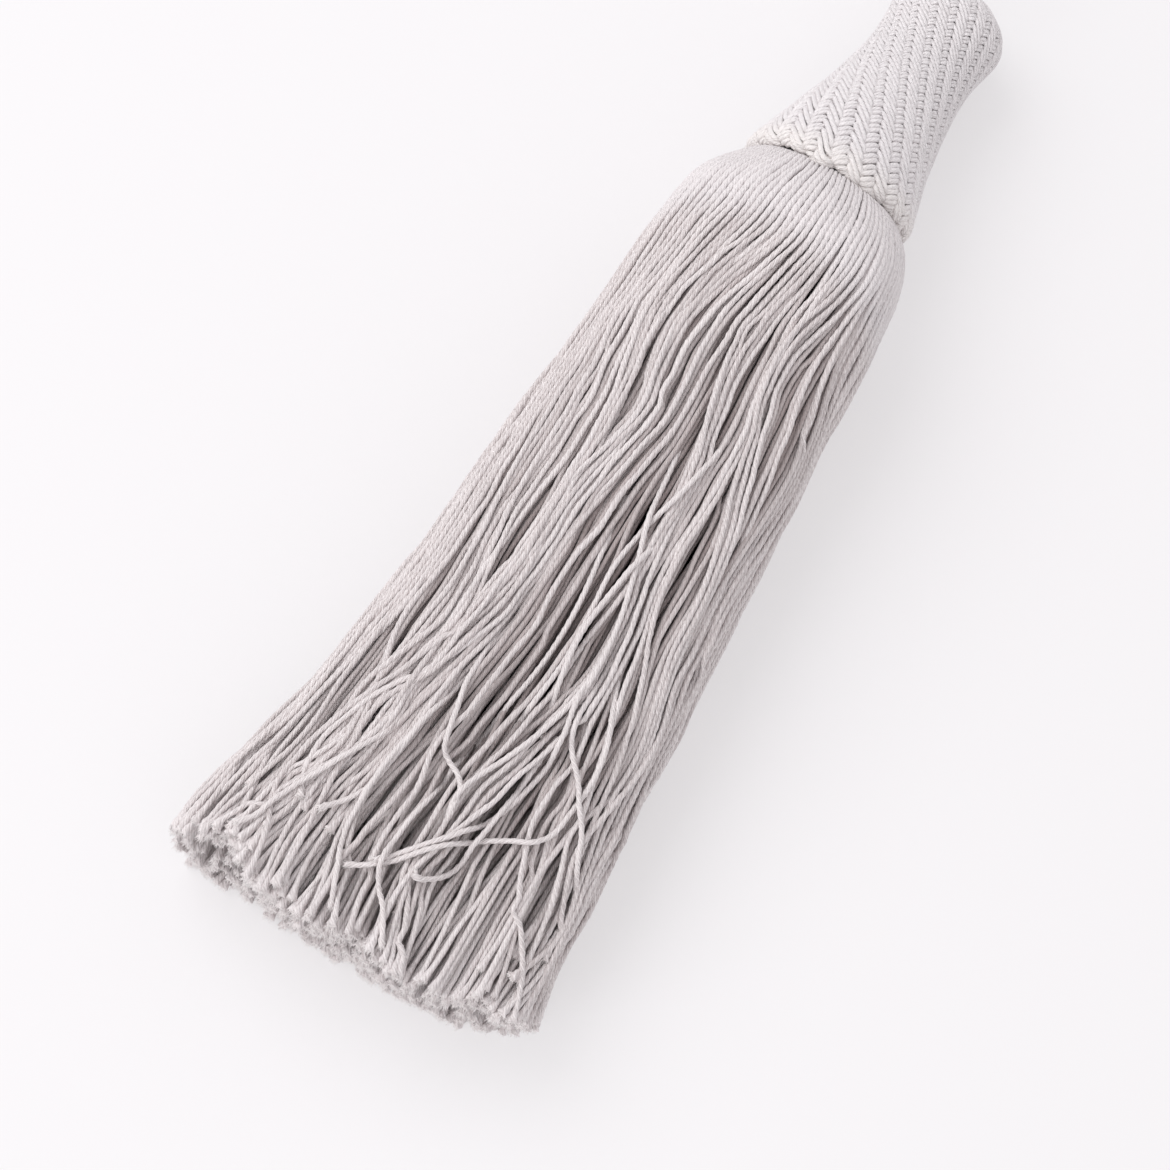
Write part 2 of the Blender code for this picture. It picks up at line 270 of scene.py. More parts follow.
def smooth_noise(seed, x, y, x_cells=None):
    """Smooth random field from -1 to 1, one cell to a unit, repeating every x_cells."""
    rng = np.random.default_rng(seed)
    wide = x_cells or int(np.max(x)) + 3
    grid = rng.uniform(-1.0, 1.0, (wide, int(np.max(y)) + 3))
    x0, y0 = np.floor(x).astype(int), np.floor(y).astype(int)
    fx, fy = ease(x - x0), ease(y - y0)
    x1 = (x0 + 1) % wide
    x0 = x0 % wide
    return mix(
        mix(grid[x0, y0], grid[x1, y0], fx),
        mix(grid[x0, y0 + 1], grid[x1, y0 + 1], fx),
        fy,
    )


# Dark openings between locks on top, as read off the view.
# half width, then along and across of each point
TOP_GAPS = (
    (0.8, (15, -8.7), (28, -9.5), (32, -10.5), (36, -10.8), (41, -9.7), (46, -9), (58, -8.4)),
    (0.4, (22, -4.7), (26, -6), (34, -7.4)),
    (0.4, (27, -4), (40, -4.5), (45, -4.5)),
    (0.5, (42, -7.7), (52, -7.2)),
    (0.4, (24, 2.5), (29.5, 1.6)),
    (1.1, (21.8, 4.8), (28, 5.7), (35, 6), (42.7, 6.6), (48.6, 7.1)),
    (0.8, (24.5, 11.9), (29, 12.1), (33.6, 12.8), (37.7, 13.9), (41.4, 14.8), (47.3, 15)),
    (0.4, (33.6, 10.3), (40.5, 11.6)),
    (0.4, (26, 17.5), (30.5, 18), (38, 18.4)),
    (0.4, (27, -12.2), (38, -12.2)),
    (0.4, (32, -16.8), (42, -16.5)),
    (0.5, (45, -15), (54, -14.8)),
    (0.3, (27, -20.6), (36, -20.6)),
    (0.7, (50, 3), (58.6, 2.5), (69.5, 3.2)),
    (0.6, (71, 3.4), (76.8, 3), (81.4, 1.9), (84.5, 2.8)),
    (0.7, (67.7, -0.6), (76.8, -1.1), (86, -1.5)),
    (0.7, (85, 0.5), (88.2, 0.7), (95, -0.2), (99.5, -0.9), (105, -1)),
    (0.9, (72, 9.1), (80, 9.1), (88.2, 9.1), (94, 9.6)),
    (0.8, (52.7, 13.7), (63.2, 13.9), (68.6, 15), (73.2, 14.4), (78, 14.6)),
    (0.4, (60, 16.9), (68, 16.9), (74.5, 17.1), (81, 17.5)),
    (0.9, (79.5, 14.8), (86, 17.5), (90.5, 18.9), (97.3, 20.7), (104, 21.2), (110, 22)),
    (0.4, (91.8, 21.2), (97.3, 22.5), (101.8, 23.2)),
    (0.6, (61, -12), (72.3, -11.8), (79, -10.6), (85, -12)),
    (0.4, (60, -2.9), (72, -3.6)),
    (0.5, (83.6, -18.1), (89.5, -18.6), (94, -19.3), (106, -18.6)),
    (0.4, (95, -13.1), (105, -13.4)),
    (0.6, (106, -14.5), (117.5, -16.5)),
    (0.5, (99, 4.2), (109, 3.5)),
    (0.8, (96, 13), (101, 13.3), (107, 14.7)),
    (0.4, (104, 17.5), (112, 18)),
    (0.4, (105, -2), (112, -2)),
    (1.1, (110, -7), (117.5, -8.2), (127.5, -8.5), (136, -7.7)),
    (0.9, (115, 11.2), (121, 11.2), (127, 11.2), (133, 10.7)),
    (0.5, (127, 13.5), (137, 13.5)),
    (0.4, (110, 25.5), (119, 25.7)),
    (0.4, (121, 21.2), (130, 21.2)),
    (0.4, (126, -23), (136, -23)),
    (0.4, (134, 7.5), (144, 7.5)),
    (0.5, (135, -11.5), (146, -11.5)),
    (0.4, (134, -2.8), (144, -2.8)),
    (0.5, (136, 16), (147, 16)),
)
GAP_REACH = 3.2                 # how far a gap pushes the yarns beside it
GAP_WIDEN = 1.25                # because the settling closes it a little
GAP_CLEAR = 2.5                 # a yarn inside a gap is moved out of it by up to this
GAP_SINK, GAP_SINK_REACH = 0.25, 1.3    # yarns at its edges sink
GAP_POINTED, GAP_STEEP = 0.9, 8.0       # form of its width and of the clearing along it
LAYER_GIVES = (1.0, 0.9, 0.6, 0.25, 0.0, 0.0, 0.0)
# Openings on the flanks and the underside: how many, and the ranges that they are drawn from
SIDE_GAPS = 75
SIDE_STARTS, SIDE_LENGTHS, SIDE_WIDTHS = (18.0, 128.0), (14.0, 28.0), (0.25, 0.8)
SIDE_TURNS = 0.20, 0.80
EDGE_STEPS = 240

# Runs of yarns on top, as read off the view: along, across
RUNS = (
    ((12, -2), (20, -4.8), (25, -7.6), (31, -9.8), (35, -9.6), (41, -7.6)),
    ((12, -1), (16, -1.8), (24, -5.2), (28, -6.6), (33, -7.4), (38, -7.2), (48, -5.4), (53, -6),
     (61, -8)),
    ((14, 0.3), (20, -1.5), (30, -3.5), (36, -3.6), (47, -3.2), (52, -4), (62, -6.5)),
    ((14, 1.5), (26, -0.6), (32, -1.2), (44, -0.5), (50, -1), (62, -3)),
    ((13, 6.2), (20, 4.9), (27, 2.6), (30, 2)),
    ((27, 0.2), (30, 1), (38, 3.4), (46, 5), (53, 7.2), (57, 7.2), (62, 6.6)),
    ((14, 6.5), (26, 6), (31, 6.3), (40, 8.2), (46, 8.8), (52, 8.7), (62, 9.6)),
    ((21, 4.8), (28, 5.7), (35, 5.4), (45, 7), (50, 7)),
    ((15, 14), (22, 11.2), (29, 9.2), (33, 9.6), (40, 11.8), (48, 13.6), (60, 17.5)),
    ((16, 14.2), (20, 14.3), (28, 12.4), (32, 12.6), (40, 14.4), (48, 16)),
    ((16, 14.6), (22, 14.8), (30, 16.6), (36, 19.2), (40, 20.4), (54, 21.6)),
    ((13, -8.5), (22, -9.8), (32, -11.4), (37, -11.2), (45, -9.2), (56, -8.4)),
    ((14, -11), (20, -12.3), (34, -13.2), (43, -11.2), (48, -10.4), (60, -10)),
    ((20, -15), (34, -16), (40, -16), (46, -15.2), (60, -15.2)),
    ((24, -19), (44, -19), (62, -20)),
    ((60, -1.8), (80, -3.8), (95, -7), (107, -11.5)),
    ((60, -5), (70, -6.3), (80, -6.5), (86, -7.5), (98, -12), (107, -15.5)),
    ((60, 0.4), (78, -0.9), (92, -3.5), (98, -6), (107, -9)),
    ((62, 0), (78, 0.8), (88, 2.2), (94, 2.4), (107, 1)),
    ((68, -0.6), (107, -1.5)),
    ((55, 6), (64, 7), (80, 10), (90, 10.6), (95, 10), (105, 7.8)),
    ((66, 4.4), (73, 7), (80, 5.4), (90, 3.8), (104, 2.4)),
    ((55, 11), (74, 12.2), (80, 14), (90, 18), (95, 19.6), (107, 20.6)),
    ((76, 12), (88, 13), (94, 14.5), (100, 17), (107, 19.8)),
    ((55, 17), (66, 18.6), (78, 21.4), (84, 22), (92, 25.4), (104, 27)),
    ((60, 16), (70, 18), (75, 18), (85, 21), (91, 24.6)),
    ((55, -12), (78, -11.6), (92, -12.4), (104, -14)),
    ((55, -16), (76, -16), (88, -14.3), (94, -14), (105, -17)),
    ((60, -19), (80, -18.4), (88, -18.6), (94, -20), (107, -19.4)),
    ((60, -22), (92, -22.4), (107, -25.5)),
    ((100, -7), (110, -10), (116, -12), (127, -18.5), (137, -23), (141, -25)),
    ((105, -6.6), (120, -9.8), (132, -12), (146, -15)),
    ((112, -5.6), (117, -7.4), (121, -7.6), (130, -5), (134, -4.2), (140, -4.8)),
    ((98, 3.5), (106, 0.6), (111, -1.8)),
    ((115, -2.5), (122, -0.6), (126, -1.6), (130, -3.2)),
    ((100, 9), (110, 5.2), (115, 3.2), (120, 2.8), (125, 3.6)),
    ((106, 12), (112, 11), (122, 7.6), (131, 5)),
    ((112, 11.5), (118, 12.4), (127, 17), (132, 19.4), (140, 22.4), (146, 24)),
    ((110, 9.5), (120, 11), (128, 14), (136, 17.4), (146, 20.6)),
    ((121, 9.4), (130, 10.8), (138, 13.4), (147, 15.6)),
    ((108, 13.4), (117, 17), (122, 20), (132, 24.4), (142, 27.4)),
    ((62, 4.6), (70, 5.6), (78, 5.2), (86, 4.2), (96, 4.4)),
    ((105, 22), (115, 25), (126, 28.4), (132, 29.4)),
    ((125, 0), (134, -1.4), (138, 1), (147, 6.4)),
    ((122, 9), (134, 8.6), (147, 10)),
    ((105, -16), (116, -17), (122, -17.4)),
    ((110, -19.5), (116, -17.8), (120, -17.4), (126, -19), (133, -21)),
    ((100, -25), (120, -29.2), (140, -33), (147, -34)),
    ((110, -23), (126, -26), (142, -30.5)),
    ((128, -9.8), (133, -9.4), (141, -6), (145, -5)),
)
RUN_STEP = 2.0                  # a run's slope is taken over stretches of this length
RUN_REACH_ALONG, RUN_REACH_ACROSS = 2.6, 1.5
BY_CHANCE, CHANCE_SLOPE = 0.10, 0.30    # weight and size of the slopes where no run is known
CHANCE_CELLS, CHANCE_PITCH = 16, 19.0
SWAY_GROWS = 11.5, 7.0
STRAIGHTEN = 95.0               # a yarn comes back to its own place over this length
LAYER_SWAYS = (1.15, 0.8, 0.5, 0.3, 0.15, 0.1, 0.0)

# Unevenness, to the side and outward: seed, size, length of a swing and cells round the bundle,
# or None where every yarn goes its own way
NOISE_START = 5.0
LOCKS_SIDE, LOCKS_OUT = (22, 0.75, 17.0, 50), (25, 0.35, 22.0, 30)
LOOSE_SIDE, LOOSE_OUT = (23, 1.0, 30.0, None), (26, 1.0, 16.0, None)
YARNS_SIDE = 24, 0.28, 10.0, None
KINKS_SIDE, KINKS_OUT = (27, 0.24, 5.0, None), (28, 0.16, 6.0, None)
LOCKS_GROW, LOOSE_GROWS, FILL_GROWS = (12.0, 16.0), (25.0, 75.0), (14.0, 10.0)
KINKS_SIDE_GROW, KINKS_OUT_GROW = (0.5, 3.0), (1.0, 4.0)
LOOSE_LEAST, LOOSE_RISE, LOOSE_MORE_RISE = 0.22, 0.62, 0.25
WILD_SHARE, WILD_SWING, WILD_RISE = 0.22, 1.2, 0.7      # some yarns cross over the others
WILD_GROWS, WILD_RISE_GROWS = (88.0, 40.0), (75.0, 35.0)
SWING, WILDER_SWING = 1.4, 2.4
COVER_CELLS = 120               # round the bundle, to see where the outer layers leave room
COVER_SMOOTH = 40
ROOM_FILLED = 0.6


class Bundle:
    """Aim of every yarn: where it would lie if yarns could pass through each other."""

    def __init__(self):
        rng = np.random.default_rng(SEED)
        self.layer = np.repeat(np.arange(len(LAYER_YARNS)), LAYER_YARNS)
        shares = []
        for number, count in enumerate(LAYER_YARNS):
            spots = (np.arange(count) + 0.5 * (number % 2)) / count
            shares.append(spots + rng.uniform(-SHARE_JITTER, SHARE_JITTER, count) / count)
        self.share = np.concatenate(shares)
        self.count = len(self.share)
        self.core = rng.uniform(0.0, 1.0, self.count)
        self.wild = (rng.uniform(0.0, 1.0, self.count) < WILD_SHARE) & (self.layer <= 1)
        self.yarn_radius = YARN_RADIUS * rng.uniform(*RADIUS_RANGE, self.count)
        self.gaps = self.top_gaps() + self.side_gaps(rng)

    def radii(self, along):
        thin = mix(NECK_THIN, 1.0, grow(along, NECK_GROWS)) * swell(along)
        return thin[:, None] * self.yarn_radius[None, :]

    def outline(self, along):
        """For each section: shares of the outline's length, the square's turn there, length."""
        turn = np.linspace(0.0, 1.0, EDGE_STEPS + 1)
        u, v = square_edge(turn)
        side, above = section_place(u[None, :], v[None, :], sections(along))
        steps = np.hypot(np.diff(side, axis=1), np.diff(above, axis=1))
        length = np.concatenate((np.zeros((len(along), 1)), np.cumsum(steps, axis=1)), axis=1)
        return turn, side, length

    def on_top(self, points):
        """Along, distance round the outline from the top's middle, and the outline's length."""
        places = np.array([seen_to_top(*point) for point in points])
        turn, side, length = self.outline(places[:, 0])
        keep = (turn < 0.25) | (turn > 0.75)
        arc = []
        for row, across in enumerate(places[:, 1]):
            reach = length[row] - np.where(turn > 0.5, length[row, -1], 0.0)
            order = np.argsort(side[row][keep])
            arc.append(np.interp(across, side[row][keep][order], reach[keep][order]))
        return places[:, 0], np.array(arc), length[:, -1]

    def top_gaps(self):
        return [(width, *self.on_top(points)[:2]) for width, *points in TOP_GAPS]

    def known_slopes(self):
        """Along, arc and slope against an even spread, of short stretches of the known runs."""
        found = []
        for points in RUNS:
            along, arc, total = self.on_top(points)
            marks = np.arange(along[0], along[-1], RUN_STEP)
            curve = resample(np.stack((arc, total), axis=-1), along, marks)
            middle = (curve[1:] + curve[:-1]) / 2.0
            rise = np.diff(curve, axis=0) / RUN_STEP
            slope = rise[:, 0] - middle[:, 0] / middle[:, 1] * rise[:, 1]
            found.append(np.stack(((marks[1:] + marks[:-1]) / 2.0, middle[:, 0], slope)))
        return np.concatenate(found, axis=1)

    def sway(self, along, total):
        """How far every yarn has left its own place, by the runs that are known on top."""
        run_along, run_arc, run_slope = self.known_slopes()
        own = np.where(self.share > 0.5, self.share - 1.0, self.share)
        chance = CHANCE_SLOPE * smooth_noise(
            20, (self.share * CHANCE_CELLS)[None, :] + 0.0 * along[:, None],
            (along[:, None] + NOISE_START) / CHANCE_PITCH + 0.0 * own, CHANCE_CELLS)
        away = np.zeros((len(along), self.count))
        for row in range(1, len(along)):
            step = along[row] - along[row - 1]
            arc = own * total[row - 1, 0] + away[row - 1]
            near = np.exp(-((along[row] - run_along) / RUN_REACH_ALONG) ** 2 / 2.0)
            close = near > 0.01
            apart = (arc[:, None] - run_arc[None, close]) / RUN_REACH_ACROSS
            weight = near[None, close] * np.exp(-apart ** 2 / 2.0)
            slope = (weight * run_slope[close]).sum(1) + BY_CHANCE * chance[row]
            slope = slope / (weight.sum(1) + BY_CHANCE) * grow(along[row], SWAY_GROWS)
            away[row] = away[row - 1] + step * (slope - away[row - 1] / STRAIGHTEN)
        return away * np.array(LAYER_SWAYS)[self.layer][None, :]

    def side_gaps(self, rng):
        """Openings where the view doesn't reach, of the same kind, by chance."""
        gaps = []
        for _ in range(SIDE_GAPS):
            start = rng.uniform(*SIDE_STARTS)
            length = rng.uniform(*SIDE_LENGTHS)
            middle = rng.uniform(*SIDE_TURNS)
            along = start + length * np.array((0.0, 0.5, 1.0))
            total = self.outline(along)[2][:, -1]
            bend = np.cumsum(rng.uniform(-1.0, 1.0, 3))
            gaps.append((rng.uniform(*SIDE_WIDTHS), along, middle * total + bend))
        return gaps

    def push(self, along, arc, total):
        """Sideways push of the gaps, and how far the yarns at their edges sink."""
        give = np.array(LAYER_GIVES)[self.layer][None, :]
        shift = np.zeros_like(arc)
        sunk = np.zeros_like(arc)
        for width, points, arcs in self.gaps:
            rows = np.nonzero((along > points[0]) & (along < points[-1]))[0]
            middle = np.interp(along[rows], points, arcs)[:, None]
            part = (along[rows] - points[0]) / (points[-1] - points[0])
            lens = (GAP_WIDEN * width * np.sin(math.pi * part) ** GAP_POINTED)[:, None]
            apart = arc[rows] + shift[rows] - middle
            apart -= total[rows] * np.round(apart / total[rows])
            beside = np.sign(apart[len(rows) // 2])[None, :]
            near = np.exp(-np.maximum(apart * beside, 0.0) / GAP_REACH)
            inside = np.clip(-apart * beside, 0.0, GAP_CLEAR)
            inside = inside * ease(part * (1.0 - part) * GAP_STEEP)[:, None]
            out = np.where(np.abs(apart) > total[rows] / 4.0, 0.0, lens * near + inside)
            shift[rows] += beside * out * give
            sunk[rows] += GAP_SINK * lens * np.exp(-(apart / GAP_SINK_REACH) ** 2) * give
        return shift, sunk

    def aim(self, along):
        """Side and above of every yarn in every section."""
        turn, _, length = self.outline(along)
        total = length[:, -1:]
        shape = sections(along)
        half_wide = (shape[0] + shape[1]) / 2.0
        arc = self.share[None, :] * total + self.sway(along, total)
        s = along[:, None] + np.zeros_like(arc)
        own = np.arange(self.count)[None, :] + np.zeros_like(arc)

        def uneven(kind, grown):
            seed, size, pitch, cells = kind
            place = self.share[None, :] * cells + np.zeros_like(arc) if cells else own
            return size * grown * smooth_noise(seed, place, (s + NOISE_START) / pitch, cells)

        lock = grow(s, LOCKS_GROW)
        arc += uneven(LOCKS_SIDE, lock)
        loose = mix(LOOSE_LEAST, 1.0, grow(s, LOOSE_GROWS)) * lock
        swing = loose * (SWING + WILDER_SWING * grow(s, WILD_GROWS))
        arc += uneven(LOOSE_SIDE, swing * (1.0 + WILD_SWING * self.wild))
        arc += uneven(YARNS_SIDE, lock)
        arc += uneven(KINKS_SIDE, grow(s, KINKS_SIDE_GROW))
        shift, sunk = self.push(along, arc, total)
        arc += shift
        thin = mix(NECK_THIN, 1.0, grow(s, NECK_GROWS))
        even = (YARN_RADIUS + LAYER_STEP * self.layer[None, :]) * thin
        depth = even + sunk
        depth -= uneven(LOCKS_OUT, lock)
        depth -= uneven(KINKS_OUT, grow(s, KINKS_OUT_GROW))
        depth -= uneven(LOOSE_OUT, (LOOSE_RISE + LOOSE_MORE_RISE * loose) * lock)
        depth -= WILD_RISE * self.wild * grow(s, WILD_RISE_GROWS)
        depth -= self.room_above(arc, total) * grow(s, FILL_GROWS)
        square_u, square_v = self.around(arc / total, turn, length)
        spread = grow(s, SPREAD_GROWS)
        core = self.layer == len(LAYER_YARNS) - 1
        end = np.array(LAYER_END)[self.layer] * np.where(core, np.sqrt(self.core), 1.0)
        drop = depth - even
        scale_u = mix(1.0 - depth / half_wide, end - drop / half_wide, spread)
        scale_v = mix(1.0 - depth * 2.0 / shape[2], end - drop * 2.0 / shape[2], spread)
        side, above = section_place(square_u * scale_u, square_v * scale_v, shape)
        return np.stack((side, above), axis=-1)

    def room_above(self, arc, total):
        """How far every yarn rises where the layers over it lie apart."""
        place = (arc / total % 1.0) * COVER_CELLS
        cell = np.floor(place).astype(int) % COVER_CELLS
        part = place - np.floor(place)
        after = (cell + 1) % COVER_CELLS
        rows = np.arange(len(arc))[:, None] + np.zeros_like(cell)
        room = np.zeros((len(arc), COVER_CELLS))
        rise = np.zeros_like(arc)
        for number, count in enumerate(LAYER_YARNS):
            mine = self.layer == number
            found = mix(room[rows, cell], room[rows, after], part)
            rise[:, mine] = found[:, mine] * LAYER_STEP * ROOM_FILLED
            crowd = np.zeros_like(room)
            np.add.at(crowd, (rows[:, mine], cell[:, mine]), 1.0 - part[:, mine])
            np.add.at(crowd, (rows[:, mine], after[:, mine]), part[:, mine])
            crowd = (np.roll(crowd, 1, axis=1) + 2.0 * crowd + np.roll(crowd, -1, axis=1)) / 4.0
            free = np.clip(1.0 - crowd * COVER_CELLS / count, 0.0, 1.0)
            for _ in range(COVER_SMOOTH):
                free[1:-1] = (free[:-2] + 2.0 * free[1:-1] + free[2:]) / 4.0
            room += free
        return rise

    def around(self, share, turn, length):
        """The square's edge at shares of the outline's length."""
        share = share % 1.0
        found = np.empty_like(share)
        for row in range(len(share)):
            found[row] = np.interp(share[row], length[row] / length[row, -1], turn)
        return square_edge(found)


SETTLE_STEPS, PAIR_STEPS = 70, 10       # neighbours are looked up again after PAIR_STEPS
PAIR_REACH = 2.1
PUSH_APART, PULL_BACK, SMOOTH = 0.3, (0.25, 0.10), 0.3
SETTLE_GROWS = 6.0, 12.0
CALM_STEPS, CALM = 5, 0.5       # last smoothing of the moves along the yarns


def near_pairs(places):
    """Pairs of yarns that lie close in a section, as indices into the flattened places."""
    count = places.shape[1]
    firsts, seconds = [], []
    for row, spots in enumerate(places):
        apart = spots[:, None, :] - spots[None, :, :]
        close = np.triu((apart ** 2).sum(-1) < PAIR_REACH ** 2, 1)
        first, second = np.nonzero(close)
        firsts.append(first + row * count)
        seconds.append(second + row * count)
    return np.concatenate(firsts), np.concatenate(seconds)


def settle(aim, radii, along):
    """Moves the yarns apart until they lie beside and on each other, near their aims."""
    places = aim.copy()
    size = places.shape[0] * places.shape[1]
    _, _, height, lift, _, _ = sections(along)
    floor = radii - (lift + height / 2.0)
    free = grow(along, SETTLE_GROWS)[:, None, None]
    for step in range(SETTLE_STEPS):
        if step % PAIR_STEPS == 0:
            first, second = near_pairs(places)
            need = radii.reshape(-1)[first] + radii.reshape(-1)[second]
        late = step / SETTLE_STEPS
        flat = places.reshape(-1, 2)
        apart = flat[second] - flat[first]
        distance = np.maximum(np.hypot(apart[:, 0], apart[:, 1]), 1e-6)
        push = apart * (np.maximum(need - distance, 0.0) / distance * PUSH_APART)[:, None]
        moved = np.stack([
            np.bincount(second, push[:, axis], size) - np.bincount(first, push[:, axis], size)
            for axis in (0, 1)
        ], axis=-1).reshape(places.shape)
        moved += (aim - places) * mix(*PULL_BACK, late)
        places += moved * free
        bend = places[:-2] + places[2:] - 2.0 * places[1:-1]
        places[1:-1] += SMOOTH * free[1:-1] * bend
        places[:, :, 1] = np.maximum(places[:, :, 1], floor)
    moved = places - aim
    for _ in range(CALM_STEPS):
        moved[1:-1] += CALM * free[1:-1] * ((moved[:-2] + moved[2:]) / 2.0 - moved[1:-1])
    places = aim + moved
    places[:, :, 1] = np.maximum(places[:, :, 1], floor)
    return places


# ---------------------------------------------------------------- meshes

def unit(vectors):
    return vectors / np.maximum(np.linalg.norm(vectors, axis=-1, keepdims=True), 1e-9)


def walk(points):
    """Distance walked along one path or along many, [..., point, 3]."""
    steps = np.linalg.norm(np.diff(points, axis=-2), axis=-1)
    start = np.zeros(steps.shape[:-1] + (1,))
    return np.concatenate((start, np.cumsum(steps, axis=-1)), axis=-1)


def respace(path, shares):
    """Points of a path at shares of its walked length."""
    length = walk(path)
    wanted = shares * length[-1]
    return np.stack([np.interp(wanted, length, column) for column in path.T], axis=-1)


def new_mesh(name, verts, loops, sizes):
    """Mesh from points in mm, the corners of its faces in one row, and their numbers."""
    mesh = bpy.data.meshes.new(name)
    mesh.vertices.add(verts.size // 3)
    mesh.vertices.foreach_set("co", (verts * MM).astype(np.float32).reshape(-1))
    mesh.loops.add(len(loops))
    mesh.loops.foreach_set("vertex_index", loops.astype(np.int32))
    mesh.polygons.add(len(sizes))
    starts = np.concatenate(((0,), np.cumsum(sizes)[:-1]))
    mesh.polygons.foreach_set("loop_start", starts.astype(np.int32))
    mesh.update(calc_edges=True)
    return mesh


def tube_mesh(name, verts):
    """Quads between the rings and a cap at both ends; verts are [yarn, station, side, 3]."""
    sides = verts.shape[2]
    index = np.arange(verts.size // 3).reshape(verts.shape[:3])
    after = np.roll(index, -1, axis=2)
    quads = np.stack((index[:, :-1], after[:, :-1], after[:, 1:], index[:, 1:]), axis=-1)
    caps = np.stack((index[:, 0, ::-1], index[:, -1, :]), axis=1)
    walls = quads.size // 4
    sizes = np.concatenate((np.full(walls, 4), np.full(caps.size // sides, sides)))
    mesh = new_mesh(name, verts, np.concatenate((quads.reshape(-1), caps.reshape(-1))), sizes)
    mesh.polygons.foreach_set("use_smooth", np.arange(len(sizes)) < walls)
    return mesh


def add_map(mesh, name, values):
    layer = mesh.uv_layers.new(name=name)
    layer.uv.foreach_set("vector", values.astype(np.float32).reshape(-1))


def add_values(mesh, key, values, sides):
    """One value for each ring of the tubes, [yarn, station]."""
    layer = mesh.attributes.new(key, "FLOAT", "POINT")
    layer.data.foreach_set("value", np.repeat(values, sides).astype(np.float32))


# Map for baking: every yarn has a strip, which starts and runs so far across and along, and its
# caps lie below and above it
STRIP_ACROSS, STRIP_ALONG = (0.06, 0.88), (0.015, 0.97)
CAP_WIDE, CAP_HIGH, CAP_PLACES = 0.4, 0.004, (0.006, 0.994)


class Tubes:
    """Many yarns as tubes in one mesh: points are [yarn, station, 3] in mm."""

    def __init__(self, points, across, radii, sides):
        self.points, self.radii, self.sides = points, radii, sides
        self.length = walk(points)
        tangent = unit(np.gradient(points, axis=1))
        normal = unit(across - (across * tangent).sum(-1, keepdims=True) * tangent)
        self.frame = normal, np.cross(tangent, normal), tangent

    def rings(self, lobe_out, lobe_in, twisted):
        """Vertices [yarn, station, side, 3]; lobes widen every other one, [yarn, station]."""
        normal, other, _ = self.frame
        side = np.arange(self.sides)
        angle = math.tau * side / self.sides + np.zeros(self.radii.shape + (1,))
        if twisted:
            angle = angle - math.tau * self.length[:, :, None] / TWIST_PITCH
        lobe = np.where(side % 2 == 0, lobe_out[:, :, None], lobe_in[:, :, None])
        reach = self.radii[:, :, None] * lobe
        verts = (
            self.points[:, :, None, :]
            + (reach * np.cos(angle))[..., None] * normal[:, :, None, :]
            + (reach * np.sin(angle))[..., None] * other[:, :, None, :]
        )
        verts[..., 2] = np.maximum(verts[..., 2], LOWEST)
        return verts

    def mesh(self, name, verts, twisted, **values):
        """Mesh with both maps, and with values that are given as [yarn, station]."""
        mesh = tube_mesh(name, verts)
        self.add_maps(mesh, twisted)
        for key, value in values.items():
            add_values(mesh, key, value + 0.0 * self.radii, self.sides)
        mesh.validate()
        return mesh

    def add_maps(self, mesh, twisted):
        yarns, sides = len(self.points), self.sides
        side = np.arange(sides + 1.0)
        share = self.length / self.length[:, -1:]
        number = np.arange(yarns)[:, None]
        shape = self.radii.shape + (sides + 1,)
        start, length = STRIP_ACROSS
        strip_u = (number[:, None] + start + length * side / sides) / yarns + np.zeros(shape)
        start, length = STRIP_ALONG
        strip_v = start + length * share[:, :, None] + np.zeros(shape)
        ply = PLIES * side / sides + np.zeros(shape)
        if not twisted:
            ply = ply + PLIES * self.length[:, :, None] / TWIST_PITCH
        run = self.length[:, :, None] + np.zeros(shape)
        turn = math.tau * np.arange(sides) / sides
        cap_u = (number + 0.5 + CAP_WIDE * np.cos(turn)) / yarns
        ends = [
            np.stack((cap_u, place + CAP_HIGH * np.sin(turn) + 0.0 * cap_u), axis=-1)
            for place in CAP_PLACES]
        for name, first, second in (("OFBake", strip_u, strip_v), ("twist", ply, run)):
            grid = np.stack((first, second), axis=-1)
            quads = np.stack(
                (grid[:, :-1, :-1], grid[:, :-1, 1:], grid[:, 1:, 1:], grid[:, 1:, :-1]), axis=3)
            low, high = ends if name == "OFBake" else (grid[:, 0, :-1], grid[:, -1, :-1])
            caps = np.stack((low[:, ::-1], high), axis=1)
            add_map(mesh, name, np.concatenate((quads.reshape(-1), caps.reshape(-1))))


def add_piece(name, mesh, material, node):
    mesh.materials.append(material)
    piece = put(name, mesh)
    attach(piece, "root")
    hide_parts(node)


# ---------------------------------------------------------------- skirt

# Where the locks on top are cut, as read off the view, and the ones underneath
# across, along
TOP_CUT = (
    (-34.0, 144.0), (-30.0, 143.5), (-28.0, 141.5), (-25.0, 140.5), (-22.0, 144.5),
    (-18.0, 146.0), (-12.0, 147.5), (-6.0, 147.0), (-2.0, 146.0), (1.0, 144.5), (4.0, 147.0),
    (9.0, 147.5), (16.0, 147.0), (21.0, 145.5), (24.0, 142.5), (27.0, 144.5), (30.0, 144.0),
    (34.0, 141.0),
)
BOTTOM_CUT = (
    (-34.0, 146.4), (-26.0, 147.0), (12.0, 146.8), (19.0, 145.6), (25.0, 143.6), (30.0, 142.0),
    (34.0, 139.5),
)
CUT_STATION = 142.0             # a yarn's place in this section says where it is cut
CUT_SPREAD = 0.45
CUT_SLANT = 0.8                 # form of the cut from the underside up to the top
LOCK_CELLS, LOCK_STEP = 26, 0.9         # whole locks are cut longer or shorter by up to this
LOCK_LAYERS = 0.8               # cells from one layer to the next
SHORT_SHARE, SHORT_BY = 0.18, (2.0, 14.0)       # some of the outer yarns are cut shorter
TIP_ENDS = (2.4, 1.8, 1.2, 0.6, 0.0)    # closer stations at a yarn's end
